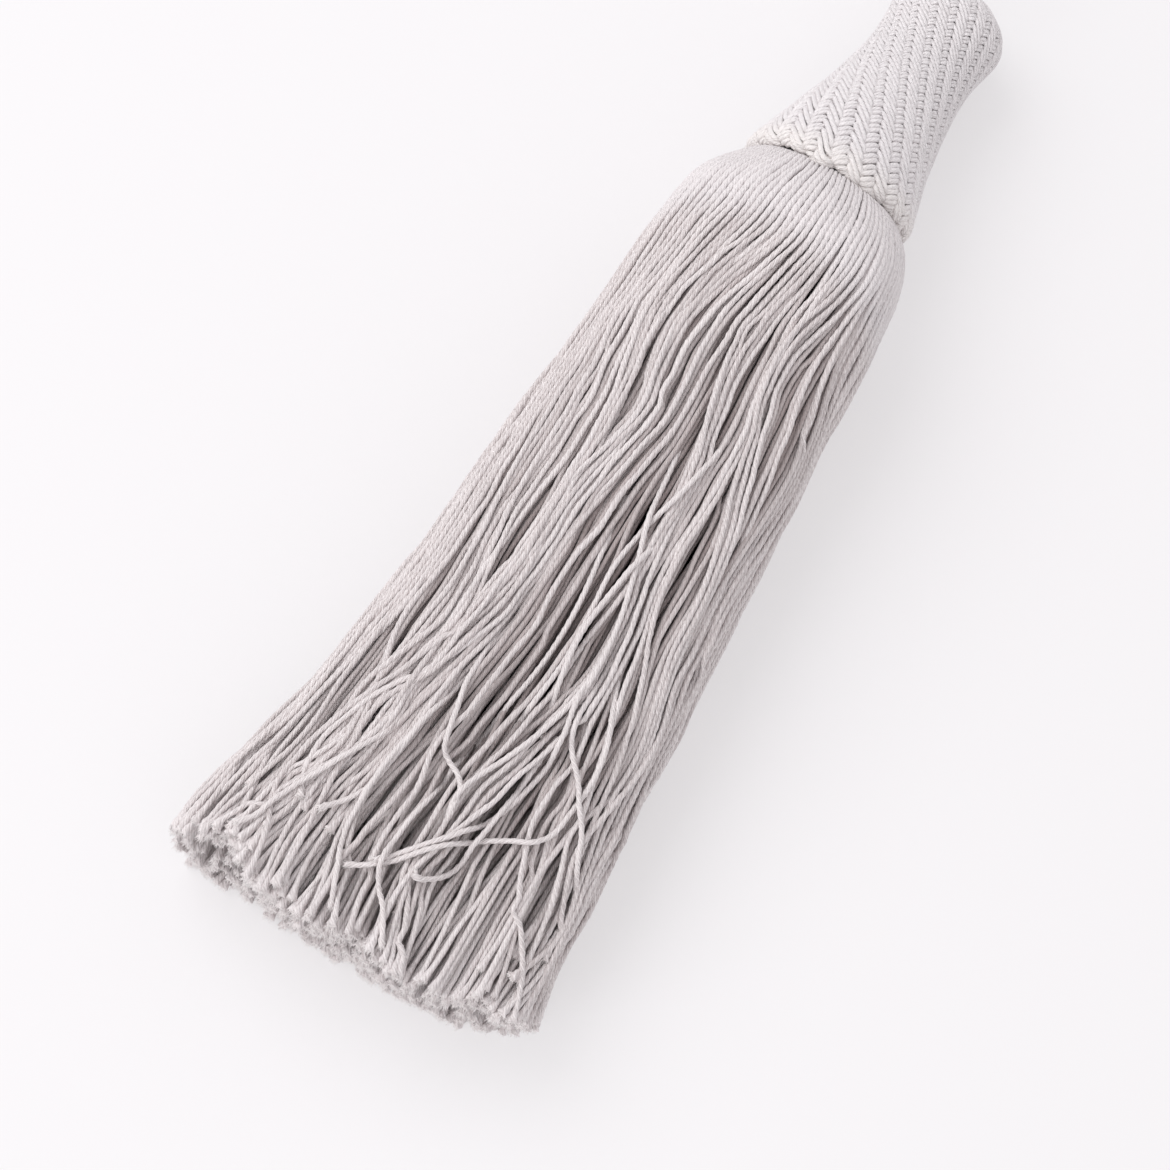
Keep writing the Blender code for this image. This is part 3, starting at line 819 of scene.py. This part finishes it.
TIP_GAP = 0.004                 # share of the length that is left before them
SLUB, KNOBS = (32, 0.07, 4.0), (33, 0.09, 0.9)  # unevenness: seed, share of the radius, length
# How yarns open at their ends: over what length, then, for the plies' ridges and for the hollows
# between them, how wide they are and how many times wider at the end
PLIED = 3.2, (1.06, 2.0), (0.92, 1.6)
PLAIN = 3.0, (1.0, 2.1), (1.0, 1.6)
LOOSE = 2.6, (1.08, 1.6), (0.90, 1.2)
FLARE_POWER = 1.6
# Painted shade on yarns under other layers, and painted light that makes the dome and ends paler
SHADE_STEP, SHADE_MOST, SHADE_ENDS = 0.19, 0.58, (95.0, 45.0)
DOME_PAINTED_LIGHT, DOME_HALF_WIDE, DOME_SIDES = (11.5, 6.5), 21.0, 6.0
END_PAINTED_LIGHT, END_LIGHT_GROWS = 0.4, (134.0, 10.0)

# Loose yarns that lie over the others: along, across. The last four are set where the
# photo's yarns cross, and the others are read off the view.
STRAYS = (
    ((84, -6.2), (90, -6.4), (96, -6.3), (101, -6), (105, -5), (109, -4), (112, -3),
     (113.4, -1), (114.4, 1), (116, 2.5), (119, 3), (128, 3.4)),
    ((80, 13), (86, 14.2), (92, 16.5), (98, 19), (104, 20), (110, 19.7), (115, 19),
     (117.7, 17), (119, 14), (121, 10.5), (124, 7), (128, 3), (132, -0.5), (135, -4), (136.7, -7)),
    ((72, 9.4), (80, 10), (88, 10.6), (94, 10.3), (100, 9), (105, 7.4), (110, 5.2), (115, 3.2),
     (118, 2.7), (123, 3.3), (126, 3.8)),
    ((82, 9.8), (88, 10.3), (94, 10.8), (100, 12), (105, 12.3), (110, 11.6), (115, 10.4),
     (119, 8.6), (123, 6), (127, 2.6), (131, -0.8), (133.5, -3)),
    ((78, 11.6), (84, 12), (91, 12.2), (97, 12.6), (100, 13.6), (102.5, 15.5), (105, 18),
     (108, 20), (112, 23), (116, 24.8), (120, 26.8), (126, 28.5)),
    ((94, -6.6), (102, -7.2), (110, -8.6), (118, -9.4), (124, -10.4), (127, -12),
     (129, -13.5), (131, -15)),
    ((104, -7.6), (112, -9), (120, -9.9), (128, -10), (131, -9.8), (134, -9), (137, -7.6),
     (140, -6.4), (144, -5)),
    ((104, -8.5), (114, -12.5), (124, -17.3), (131, -20.8), (134, -22), (137, -23),
     (140.5, -25.5)),
    ((100, 10.8), (108, 10.6), (116, 10), (123, 9.2), (127, 8.7), (129.5, 7.8), (131.5, 6),
     (132.3, 4.8), (132, 3.4)),
    ((108, -0.4), (118, -0.8), (126, -1.9), (134, -1.6), (137, 0), (139, 2), (142, 4),
     (145, 5.5)),
    ((36, 8.4), (46, 8.3), (56, 6.9), (64, 4.8), (72, 4.0), (80, 4.8), (88, 5.5), (97, 5.0),
     (108, 3.4)),
    ((42, 1.2), (52, 3.0), (62, 4.6), (70, 7.2), (78, 9.4), (88, 10.9), (98, 10.6)),
    ((56, 9.0), (66, 7.6), (76, 5.9), (85, 5.6), (93, 6.8), (102, 9)),
    ((60, -0.8), (70, 0.9), (80, 2.4), (90, 2.6), (100, 1.4), (108, 0)),
)
FREE_TIP = 131.0                # a loose yarn that ends short of this slips back under
STRAY_STEP, STRAY_SMOOTH = 0.6, 9
STRAY_DIVE, TIP_DIVE = (3.4, 16.0), (4.0, 10.0)         # how deep, and over what length
STRAY_THIN, STRAY_TINT = 0.95, 0.9
STRAY_NEAR, FAR_BELOW = 1.2, -50.0


def stray_paths(places, along):
    """Loose yarns laid over the settled ones."""
    paths = []
    world = to_world(places, along)
    for points in STRAYS:
        spots = np.array([seen_to_top(*point) for point in points])
        length = np.concatenate(((0.0,), np.cumsum(np.hypot(*np.diff(spots, axis=0).T))))
        wanted = np.arange(0.0, length[-1], STRAY_STEP)
        route = resample(spots, length, wanted)
        height = np.empty(len(route))
        for number, (s, across) in enumerate(route):
            row = int(np.clip(np.searchsorted(along, s) - 1, 0, len(along) - 2))
            part = (s - along[row]) / (along[row + 1] - along[row])
            section = mix(world[row], world[row + 1], part)
            apart = np.abs(section[:, 0] - RIM_PLACE[0] - across)
            over = np.maximum((2.0 * YARN_RADIUS) ** 2 - apart ** 2, 0.0)
            touching = apart < 2.0 * YARN_RADIUS
            height[number] = np.max(np.where(touching, section[:, 2] + np.sqrt(over), -1.0))
        height = np.array([height[max(0, i - 2):i + 3].max() for i in range(len(height))])
        kernel = np.hanning(STRAY_SMOOTH) / np.hanning(STRAY_SMOOTH).sum()
        height = np.convolve(np.pad(height, STRAY_SMOOTH // 2, mode="edge"), kernel, mode="valid")
        deep, over_length = STRAY_DIVE
        dive = ease(1.0 - wanted / over_length) * deep
        if points[-1][0] < FREE_TIP:
            deep, over_length = TIP_DIVE
            dive = dive + ease(1.0 - (wanted[-1] - wanted) / over_length) * deep
        path = np.stack((
            RIM_PLACE[0] + route[:, 1], RIM_PLACE[1] - route[:, 0], height - dive), axis=-1)
        paths.append(path)
        world = add_to_sections(world, along, path)
    return paths


def add_to_sections(world, along, path):
    """The next loose yarn lies over this one too."""
    extra = np.full((len(along), 1, 3), FAR_BELOW)
    for row, s in enumerate(along):
        near = np.abs(RIM_PLACE[1] - path[:, 1] - s)
        best = int(np.argmin(near))
        if near[best] < STRAY_NEAR:
            extra[row, 0] = path[best]
    return np.concatenate((world, extra), axis=1)


def tip_stations(length, count):
    """Shares of a yarn's length: even, with some closer together at the tip."""
    end = np.array(TIP_ENDS) / length
    body = np.linspace(0.0, 1.0, count - len(TIP_ENDS)) * (1.0 - end[0] - TIP_GAP)
    return np.concatenate((body, 1.0 - end))


def lobes(tubes, kind):
    """Widths of the plies' ridges and of the hollows between them, along every yarn."""
    opens, *widths = kind
    left = tubes.length[:, -1:] - tubes.length
    flare = np.clip(1.0 - left / opens, 0.0, 1.0) ** FLARE_POWER
    return [width * (1.0 + (wider - 1.0) * flare) for width, wider in widths]


# Cut fibres at every yarn's end: where they start, in radii out of its middle and in mm inside its
# end, and how they lean, how long and how thick they are
FIBRES_PER_TIP = 16
FIBRE_OUT, FIBRE_INSIDE = (0.1, 1.1), 0.35
FIBRE_LEAN, FIBRE_LENGTH, FIBRE_THICK = (0.0, 0.8), (0.5, 1.3), (0.08, 0.15)


def fibre_mesh(name, ends, rng):
    """Cut fibres that stand out of the yarns' ends, each a thin closed spike."""
    tips, ways, radii = (np.concatenate(values) for values in zip(*ends))
    count = len(tips) * FIBRES_PER_TIP
    base = np.repeat(tips, FIBRES_PER_TIP, axis=0)
    way = np.repeat(ways, FIBRES_PER_TIP, axis=0)
    radius = np.repeat(radii, FIBRES_PER_TIP)[:, None]
    side = unit(np.cross(way, rng.normal(size=(count, 3))))
    out = rng.uniform(*FIBRE_OUT, (count, 1))
    base = base + side * radius * out - way * FIBRE_INSIDE
    lean = unit(way + side * rng.uniform(*FIBRE_LEAN, (count, 1)))
    tip = base + lean * rng.uniform(*FIBRE_LENGTH, (count, 1))
    other = unit(np.cross(lean, side))
    third = unit(np.cross(lean, other))
    thick = rng.uniform(*FIBRE_THICK, (count, 1))
    corners = [base + thick * (math.cos(a) * other + math.sin(a) * third)
               for a in (0.0, math.tau / 3.0, math.tau * 2.0 / 3.0)]
    verts = np.stack(corners + [tip], axis=1)
    verts[..., 2] = np.maximum(verts[..., 2], LOWEST)
    faces = np.array(((0, 1, 3), (1, 2, 3), (2, 0, 3), (0, 2, 1)))
    loops = (np.arange(count)[:, None, None] * 4 + faces).reshape(-1)
    mesh = new_mesh(name, verts, loops, np.full(count * 4, 3))
    # Map for baking: a square for every fibre, with a triangle in each of its quarters
    cells = math.ceil(math.sqrt(count))
    cell = np.stack((np.arange(count) % cells, np.arange(count) // cells), axis=-1)
    quarters = np.array(((0.0, 0.0), (0.5, 0.0), (0.0, 0.5), (0.5, 0.5)))
    fan = quarters[:, None] + np.array(((0.05, 0.05), (0.45, 0.05), (0.25, 0.45)))
    add_map(mesh, "OFBake", (cell[:, None, None, :] + fan[None]) / cells)
    mesh.validate()
    return mesh


def cut_places(bundle, fine, rng):
    """How far along the skirt every yarn is cut."""
    height = table_at(SKIRT_SECTIONS, CUT_STATION)[2]
    side, above = fine[int(np.searchsorted(FINE, CUT_STATION))].T
    upper = np.clip(0.5 + above / height, 0.0, 1.0)
    cut = np.array([seen_to_top(along_cut, across) for across, along_cut in TOP_CUT])
    top_cut = np.interp(side, cut[:, 1], cut[:, 0])
    bottom_cut = np.interp(side, *zip(*BOTTOM_CUT))
    lock_step = LOCK_STEP * smooth_noise(
        31, bundle.share * LOCK_CELLS, bundle.layer * LOCK_LAYERS, LOCK_CELLS)
    tips = mix(bottom_cut, top_cut, upper ** CUT_SLANT) + lock_step
    tips = tips + rng.normal(0.0, CUT_SPREAD, bundle.count)
    short = (rng.uniform(0.0, 1.0, bundle.count) < SHORT_SHARE) & (bundle.layer <= 1)
    return tips - short * rng.uniform(*SHORT_BY, bundle.count)


def build_skirt(yarn_look, fibre_look):
    bundle = Bundle()
    rng = np.random.default_rng(SEED + 1)
    fine_aim = bundle.aim(FINE)
    coarse_aim = resample(fine_aim, FINE, COARSE)
    places = settle(coarse_aim, bundle.radii(COARSE), COARSE)
    fine = fine_aim + resample(places - coarse_aim, COARSE, FINE)
    world = to_world(fine, FINE).transpose(1, 0, 2)
    tips = cut_places(bundle, fine, rng)
    turn = math.tau * bundle.share
    across = np.stack((np.cos(turn), np.zeros(bundle.count), -np.sin(turn)), axis=-1)
    tint = rng.uniform(0.0, 1.0, bundle.count)
    radii = bundle.radii(FINE).T
    layer, even = bundle.layer, np.arange(bundle.count) % 2 == 0
    # name, its yarns, sides and stations of each, how its ends open
    groups = (
        ("skirt_yarns_a", (layer == 0) & even, 6, 200, PLIED),
        ("skirt_yarns_b", (layer == 0) & ~even, 6, 200, PLIED),
        ("skirt_yarns_c", layer == 1, 6, 76, PLAIN),
        ("skirt_yarns_d", layer == 2, 5, 60, PLAIN),
        ("skirt_yarns_e", layer >= 3, 5, 32, PLAIN),
    )
    ends = []
    for name, chosen, sides, stations, kind in groups:
        rows = np.nonzero(chosen)[0]
        paths = []
        for row in rows:
            last = int(np.searchsorted(FINE, tips[row]))
            part = (tips[row] - FINE[last - 1]) / (FINE[last] - FINE[last - 1])
            tip = mix(world[row, last - 1], world[row, last], part)
            paths.append(np.concatenate((world[row, :last], tip[None, :])))
        points = np.array([
            respace(path, tip_stations(walk(path)[-1], stations)) for path in paths])
        s = RIM_PLACE[1] - points[:, :, 1]
        reach = np.array([np.interp(s[i], FINE, radii[row]) for i, row in enumerate(rows)])
        tubes = Tubes(points, across[rows][:, None, :], reach, sides)
        own = np.arange(len(rows))[:, None] + 0.0 * reach
        slub, knobs = (
            size * smooth_noise(seed, own, tubes.length / pitch)
            for seed, size, pitch in (SLUB, KNOBS))
        tubes.radii = reach * (1.0 + slub + knobs)
        verts = tubes.rings(*lobes(tubes, kind), kind is PLIED)
        # Painted shade: yarns under other layers are darker, except near the cut end
        deep = np.clip(layer[rows] * SHADE_STEP, 0.0, SHADE_MOST)[:, None]
        # Painted light: the dome and the cut ends are painted paler
        aside = (points[:, :, 0] - RIM_PLACE[0]) / DOME_HALF_WIDE
        dome = 1.0 - grow(s - DOME_SIDES * aside ** 2, DOME_PAINTED_LIGHT)
        mesh = tubes.mesh(
            name, verts, kind is PLIED, shade=1.0 - (1.0 - grow(s, SHADE_ENDS)) * deep,
            tint=tint[rows][:, None], wash=dome + END_PAINTED_LIGHT * grow(s, END_LIGHT_GROWS))
        add_piece(name, mesh, yarn_look, "skirt")
        ends.append((points[:, -1], tubes.frame[2][:, -1], tubes.radii[:, -1]))
    ends.append(add_strays(places, yarn_look))
    add_piece("yarn_ends", fibre_mesh("yarn_ends", ends, rng), fibre_look, "skirt")


def add_strays(places, look):
    paths = stray_paths(places, COARSE)
    stations = np.linspace(0.0, 1.0, max(len(path) for path in paths))
    points = np.array([respace(path, stations) for path in paths])
    tangent = unit(np.gradient(points, axis=1))
    across = unit(np.cross(tangent, np.array((0.0, 0.0, 1.0))))
    radii = np.full(points.shape[:2], YARN_RADIUS * STRAY_THIN)
    tubes = Tubes(points, across, radii, 6)
    verts = tubes.rings(*lobes(tubes, LOOSE), True)
    mesh = tubes.mesh("loose_yarns", verts, True, shade=1.0, tint=STRAY_TINT, wash=0.0)
    add_piece("loose_yarns", mesh, look, "skirt")
    return points[:, -1], tubes.frame[2][:, -1], radii[:, -1]


# ---------------------------------------------------------------- head

BRAID_STRANDS = 34              # of each hand
STRAND_YARNS = 2
BRAID_YARNS = BRAID_STRANDS * STRAND_YARNS
FLOAT_CELLS = 6.0               # over three and under three
BRAID_TURNS = 0.0188, 0.0165    # turns per mm of the two hands, where the braid is BRAID_RADIUS
BRAID_RADIUS, BRAID_TIGHTEN = 10.2, -0.8
CROSSING = 0.75                 # cells from one hand's yarns to the other's
BRAID_LIFT, LIFT_MOST = 0.46, 1.1       # over and under lie this far out and in, at most in radii
BRAID_BIAS, BIAS_GROWS = 0.3, (6.0, 14.0)       # the steep yarns are on top for over half the way
WEAVE_SHARP = 3.2, 2.2          # how quickly the two hands change between over and under
BRAID_FULL, BRAID_THICKEST = 0.56, 0.46 # radius: share of a yarn's room, and its limit
BRAID_SWELL = 0.06              # yarns are thicker on top
BRAID_OUT, BRAID_UNEVEN = 0.22, 0.02    # outward by this, more or less
BRAID_PALE = 4.0, 5.0           # the rim is paler
BRAID_WIDE, BRAID_PINCH = 0.97, 0.36    # a strand is full on top and draws in where it dives
BRAID_STATIONS = 200, 210
LIP_END, LIP_RUN = 9.0, 6.0     # the rim's waves fade out towards here
LIP_WAVE = 0.3
LIP_WAVES = ((1.0, 2.0, 1.0), (0.6, 5.0, 0.0), (0.7, 9.0, 2.0))     # size, waves round, phase
# Folds of the rim on top, as read off the view: degrees round the head, width, mm to the head
LIP_FOLDS = ((-97.0, 6.0, -0.75), (-107.0, 4.5, 0.55), (-86.0, 5.0, 0.45), (-60.0, 9.0, -0.25))
# Profile of the braid from inside the rim, round the lip and up to the top: along, radius
HEAD_PROFILE = (
    (1.9, 12.9), (1.0, 13.0), (0.35, 13.4), (0.0, 14.0), (0.25, 14.8), (0.8, 15.25),
    (1.6, 15.4), (3.2, 15.15), (5.5, 14.45), (8.2, 13.7), (13.9, 12.2), (19.7, 10.9),
    (25.5, 9.95), (31.0, 9.5), (36.0, 9.85), (39.5, 10.3), (41.2, 9.95), (42.7, 8.8),
    (44.0, 7.2), (45.1, 5.2), (45.8, 3.2), (46.0, 1.9), (45.4, 1.2), (44.2, 1.0),
)
PROFILE_STEP = 0.05
# Form under the braid: the profile's points from, to (from its end) and step, and how far inside
CORE_POINTS, CORE_SIDES = (12, 16, 14), 48
CORE_INSIDE, CORE_THINNEST = 1.3, 0.3


def head_profile():
    """Fine profile with the distance walked along it and its outward direction."""
    rough = np.array(HEAD_PROFILE)
    steps = np.concatenate(((0.0,), np.cumsum(np.hypot(*np.diff(rough, axis=0).T))))
    run = np.arange(0.0, steps[-1], PROFILE_STEP)
    fine = resample(rough, steps, run)
    way = unit(np.gradient(fine, axis=0))
    out = np.stack((-way[:, 1], way[:, 0]), axis=-1)
    return run, fine, out


def head_to_world(z, x, y):
    """Head's own axis, +z from its rim, to where the head lies, in mm."""
    turned = ease(z / HEAD_TURN_RUN)
    tilt, yaw = HEAD_TILT * turned, mix(RIM_YAW, HEAD_YAW, turned)
    axis = (
        math.sin(HEAD_YAW) * math.cos(HEAD_TILT),
        math.cos(HEAD_YAW) * math.cos(HEAD_TILT),
        -math.sin(HEAD_TILT),
    )
    return np.stack((
        RIM_PLACE[0] + axis[0] * z + x * np.cos(yaw) - y * np.sin(yaw) * np.sin(tilt),
        RIM_PLACE[1] + axis[1] * z - x * np.sin(yaw) - y * np.cos(yaw) * np.sin(tilt),
        RIM_PLACE[2] + axis[2] * z - y * np.cos(tilt),
    ), axis=-1)


def build_head(braid_look, core_shade_look):
    """Two hands of the braid, over three and under three, with a core in it."""
    run, profile, out = head_profile()
    tighten = (profile[:, 1] / BRAID_RADIUS) ** BRAID_TIGHTEN
    wound = np.concatenate(((0.0,), np.cumsum((tighten[1:] + tighten[:-1]) / 2.0 * np.diff(run))))
    middle = head_to_world(0.0, 0.0, 0.0)
    rng = np.random.default_rng(SEED + 2)
    for hand, name in enumerate(("head_braid_a", "head_braid_b")):
        at = np.linspace(0.0, run[-1] - PROFILE_STEP, BRAID_STATIONS[hand])
        z, r, out_z, out_r, turns = (
            np.interp(at, run, column) for column in (*profile.T, *out.T, wound))
        paths = [
            braid_yarn(hand, yarn, at, (z, r), (out_z, out_r), turns, rng.normal(0.0, BRAID_UNEVEN))
            for yarn in range(BRAID_YARNS)]
        points, reach = (np.array(values) for values in zip(*paths))
        tubes = Tubes(points, unit(points - middle), reach, 6)
        ones = np.ones_like(reach)
        mesh = tubes.mesh(
            name, tubes.rings(ones, ones, False), False, shade=1.0,
            tint=rng.uniform(0.0, 1.0, (len(points), 1)), wash=1.0 - grow(at, BRAID_PALE)[None, :])
        add_piece(name, mesh, braid_look, "braided_head")
    add_core(core_shade_look, profile, out)


def braid_yarn(hand, yarn, at, place, out, wound, uneven):
    """One yarn of one hand: its path and its radius along it."""
    z, r = place
    strand = yarn // STRAND_YARNS
    beside = yarn % STRAND_YARNS - (STRAND_YARNS - 1) / 2.0
    rate = BRAID_TURNS[hand] * (r / BRAID_RADIUS) ** BRAID_TIGHTEN
    slant = np.arctan(rate * math.tau * r)
    room = math.tau * r / BRAID_YARNS * np.cos(slant)
    radius = np.minimum(room * BRAID_FULL, BRAID_THICKEST)
    crossed = sum(BRAID_TURNS) * wound
    if hand == 0:
        cell = yarn + yarn / STRAND_YARNS - BRAID_STRANDS * crossed
        sign = 1.0
    else:
        cell = (STRAND_YARNS + 1) * strand + beside + CROSSING + BRAID_YARNS * crossed
        sign = -1.0
    over = np.cos(math.tau * cell / FLOAT_CELLS) + BRAID_BIAS * grow(at, BIAS_GROWS)
    weave = sign * np.tanh(WEAVE_SHARP[hand] * over)
    wide = BRAID_WIDE - BRAID_PINCH * (1.0 - weave ** 2)
    start = (strand + beside * wide / STRAND_YARNS) / BRAID_STRANDS
    angle = math.tau * (start - sign * BRAID_TURNS[hand] * wound)
    radius = radius * (1.0 + BRAID_SWELL * weave)
    lift = np.minimum(BRAID_LIFT, radius * LIFT_MOST)
    height = lift * weave - lift - radius + BRAID_OUT + uneven
    wave = LIP_WAVE * sum(size * np.sin(waves * angle + phase) for size, waves, phase in LIP_WAVES)
    for middle, width, rise in LIP_FOLDS:
        away = (np.degrees(angle) - middle + 180.0) % 360.0 - 180.0
        wave = wave + rise * np.exp(-(away / width) ** 2)
    z = z + out[0] * height + wave * ease((LIP_END - at) / LIP_RUN)
    r = r + out[1] * height
    return head_to_world(z, r * np.cos(angle), r * np.sin(angle)), radius


def add_core(look, profile, out):
    """Plain closed form under the braid, so that no light comes through between strands.
    Its dark colour is painted shade in the gaps between them.
    """
    first, last, step = CORE_POINTS
    keep = slice(first, len(profile) - last, step)
    ring = profile[keep] - out[keep] * CORE_INSIDE
    ring[:, 1] = np.maximum(ring[:, 1], CORE_THINNEST)
    turn = math.tau * np.arange(CORE_SIDES) / CORE_SIDES
    verts = head_to_world(
        ring[:, :1] + 0.0 * turn, ring[:, 1:] * np.cos(turn), ring[:, 1:] * np.sin(turn))
    mesh = tube_mesh("head_core_painted_shade", verts[None])
    mesh.polygons.foreach_set("use_smooth", [True] * len(mesh.polygons))
    add_piece("head_core_painted_shade", mesh, look, "braided_head")


# ---------------------------------------------------------------- materials

def node(tree, kind, inputs=None, **settings):
    made = tree.nodes.new(kind)
    for key, value in settings.items():
        setattr(made, key, value)
    for key, value in (inputs or {}).items():
        if isinstance(value, bpy.types.NodeSocket):
            tree.links.new(value, made.inputs[key])
        else:
            made.inputs[key].default_value = value
    return made


def sums(tree, operation, first, second=0.0):
    return node(tree, "ShaderNodeMath", {0: first, 1: second}, operation=operation).outputs[0]


def weighted(tree, *terms):
    """Sum of outputs, each times its weight."""
    parts = [sums(tree, "MULTIPLY", *term) for term in terms]
    total = parts[0]
    for part in parts[1:]:
        total = sums(tree, "ADD", total, part)
    return total


def blend(tree, share, first, second):
    """Colour between two, which are colours or outputs."""
    first, second = (
        colour if isinstance(colour, bpy.types.NodeSocket) else (*colour, 1.0)
        for colour in (first, second))
    return node(tree, "ShaderNodeMix", {"Factor": share, "A": first, "B": second},
                data_type="RGBA", clamp_factor=True).outputs["Result"]


def value_of(tree, name):
    return node(tree, "ShaderNodeAttribute", attribute_name=name).outputs["Fac"]


def new_look(name, roughness, specular, sheen):
    """New material: itself, its nodes and its shader."""
    material = bpy.data.materials.new(name)
    material.use_nodes = True
    shader = material.node_tree.nodes["Principled BSDF"]
    shader.inputs["Roughness"].default_value = roughness
    shader.inputs["Specular IOR Level"].default_value = specular
    shader.inputs["Sheen Weight"].default_value = sheen
    shader.inputs["Sheen Roughness"].default_value = 0.5
    return material, material.node_tree, shader


def cotton(name, light, dark, deep, ply_hollow_shade, ply_bump, wash, wash_share):
    """Matt cotton: twisted plies with painted shade in their hollows, fine fibres, small
    differences from yarn to yarn, painted shade under other layers and a paler colour where a value
    asks.
    """
    material, tree, shader = new_look(name, 0.9, 0.25, 0.25)
    twist = node(tree, "ShaderNodeUVMap", uv_map="twist").outputs[0]
    parts = node(tree, "ShaderNodeSeparateXYZ", {0: twist})
    turn = sums(tree, "MULTIPLY", parts.outputs[0], math.tau)
    # ply is 1 on the plies' ridges and 0 in their hollows, which are painted darker: painted shade
    ply = sums(tree, "MULTIPLY_ADD", sums(tree, "COSINE", turn), 0.5)
    ply.node.inputs[2].default_value = 0.5
    thread = sums(tree, "COSINE", sums(tree, "MULTIPLY", turn, 2.0))
    tint = value_of(tree, "tint")
    fibre_place = node(tree, "ShaderNodeCombineXYZ", {
        0: sums(tree, "MULTIPLY", parts.outputs[0], 5.0),
        1: sums(tree, "MULTIPLY", parts.outputs[1], 1.8),
        2: sums(tree, "MULTIPLY", tint, 40.0)})
    fibre = node(tree, "ShaderNodeTexNoise", {
        "Vector": fibre_place.outputs[0], "Scale": 1.0, "Detail": 3.0, "Roughness": 0.6}).outputs[0]
    cloud_place = node(tree, "ShaderNodeCombineXYZ", {
        0: sums(tree, "MULTIPLY", tint, 90.0), 1: sums(tree, "MULTIPLY", parts.outputs[1], 0.12)})
    cloud = node(tree, "ShaderNodeTexNoise", {
        "Vector": cloud_place.outputs[0], "Scale": 1.0, "Detail": 1.0}).outputs[0]
    level = weighted(
        tree, (ply, ply_hollow_shade), (thread, ply_hollow_shade * 0.6), (fibre, 1.6), (cloud, 0.35), (tint, 0.35))
    colour = blend(tree, sums(tree, "SUBTRACT", level, 0.75), dark, light)
    # Painted light: the dome and the cut ends are mixed towards a paler colour, the braid's rim too
    amount = sums(tree, "MULTIPLY", value_of(tree, "wash"), wash_share)
    # Painted shade: yarns under other layers are mixed towards the deep colour
    colour = blend(tree, value_of(tree, "shade"), deep, blend(tree, amount, colour, wash))
    tree.links.new(colour, shader.inputs["Base Color"])
    height = weighted(tree, (fibre, 0.8), (ply, ply_bump), (thread, 0.15))
    bump = node(tree, "ShaderNodeBump", {
        "Strength": 0.85, "Distance": 0.00032, "Height": height})
    tree.links.new(bump.outputs[0], shader.inputs["Normal"])
    return material


def mottle(tree, shader, first, second, scale, detail):
    """Soft blotches between two colours."""
    place = node(tree, "ShaderNodeTexCoord").outputs["Object"]
    noise = node(tree, "ShaderNodeTexNoise", {"Vector": place, "Scale": scale, "Detail": detail})
    tree.links.new(blend(tree, noise.outputs[0], first, second), shader.inputs["Base Color"])


def plain_cotton(name, light, dark):
    """Cut fibres, and the form under the braid, whose dark colours are painted shade."""
    material, tree, shader = new_look(name, 0.95, 0.2, 0.2)
    mottle(tree, shader, dark, light, 900.0, 2.0)
    return material


def floor_look():
    """Pale paper with a glow of its own, as bright as the photo's backdrop."""
    material, tree, shader = new_look("pale_paper", 0.95, 0.1, 0.0)
    mottle(tree, shader, (0.40, 0.39, 0.40), (0.42, 0.41, 0.42), 3.0, 1.0)
    shader.inputs["Emission Color"].default_value = (1.0, 0.985, 0.985, 1.0)
    shader.inputs["Emission Strength"].default_value = 0.47
    return material


# ---------------------------------------------------------------- studio

FLOOR_HALF, FLOOR_HEIGHT = 2.0, -0.0001         # metres, like the lights
# name, place, aim, size, power
LIGHTS = (
    ("key", (-0.7, 0.25, 0.9), (0.0, 0.0, 0.0), 1.0, 5.6),
    ("end_fill", (-0.3, -0.85, 0.4), (0.0, -0.08, 0.01), 0.7, 2.6),
)


def add_floor():
    mesh = bpy.data.meshes.new("floor")
    ways = ((-1, -1), (1, -1), (1, 1), (-1, 1))
    corners = [(x * FLOOR_HALF, y * FLOOR_HALF, 0.0) for x, y in ways]
    mesh.from_pydata(corners, [], [(0, 1, 2, 3)])
    mesh.materials.append(floor_look())
    floor = put("floor", mesh)
    floor.location.z = FLOOR_HEIGHT


def add_light(name, place, aim, size, power):
    data = bpy.data.lights.new(name, "AREA")
    data.shape = "DISK"
    data.size = size
    data.energy = power
    lamp = put(name, data)
    lamp.location = place
    way = Vector(aim) - Vector(place)
    lamp.rotation_euler = way.to_track_quat("-Z", "Y").to_euler()


def add_studio():
    world = bpy.data.worlds.new("studio")
    bpy.context.scene.world = world
    world.use_nodes = True
    background = world.node_tree.nodes["Background"]
    background.inputs["Color"].default_value = (0.97, 0.96, 0.98, 1.0)
    background.inputs["Strength"].default_value = 0.84
    for light in LIGHTS:
        add_light(*light)
    bpy.context.scene.view_settings.view_transform = "Standard"


def main():
    add_camera()
    add_floor()
    add_studio()
    # Painted shade: deep colour under other layers, and the plies' hollows; painted light: paler
    # colour
    yarn_look = cotton(
        "cotton_yarn", light=(0.91, 0.855, 0.85), dark=(0.54, 0.475, 0.47),
        deep=(0.25, 0.18, 0.17), ply_hollow_shade=0.3, ply_bump=0.0,
        wash=(0.815, 0.77, 0.775), wash_share=0.8)
    braid_look = cotton(
        "braided_cotton", light=(0.925, 0.89, 0.895), dark=(0.82, 0.775, 0.78),
        deep=(0.30, 0.24, 0.23), ply_hollow_shade=0.1, ply_bump=0.15,
        wash=(0.92, 0.87, 0.83), wash_share=0.5)
    # The core's dark colours are painted shade between the braid's strands
    core_shade_look = plain_cotton("head_core_painted_shade", (0.24, 0.20, 0.19), (0.18, 0.15, 0.14))
    fibre_look = plain_cotton("cut_fibres", (0.96, 0.915, 0.91), (0.86, 0.81, 0.80))
    build_skirt(yarn_look, fibre_look)
    build_head(braid_look, core_shade_look)


main()
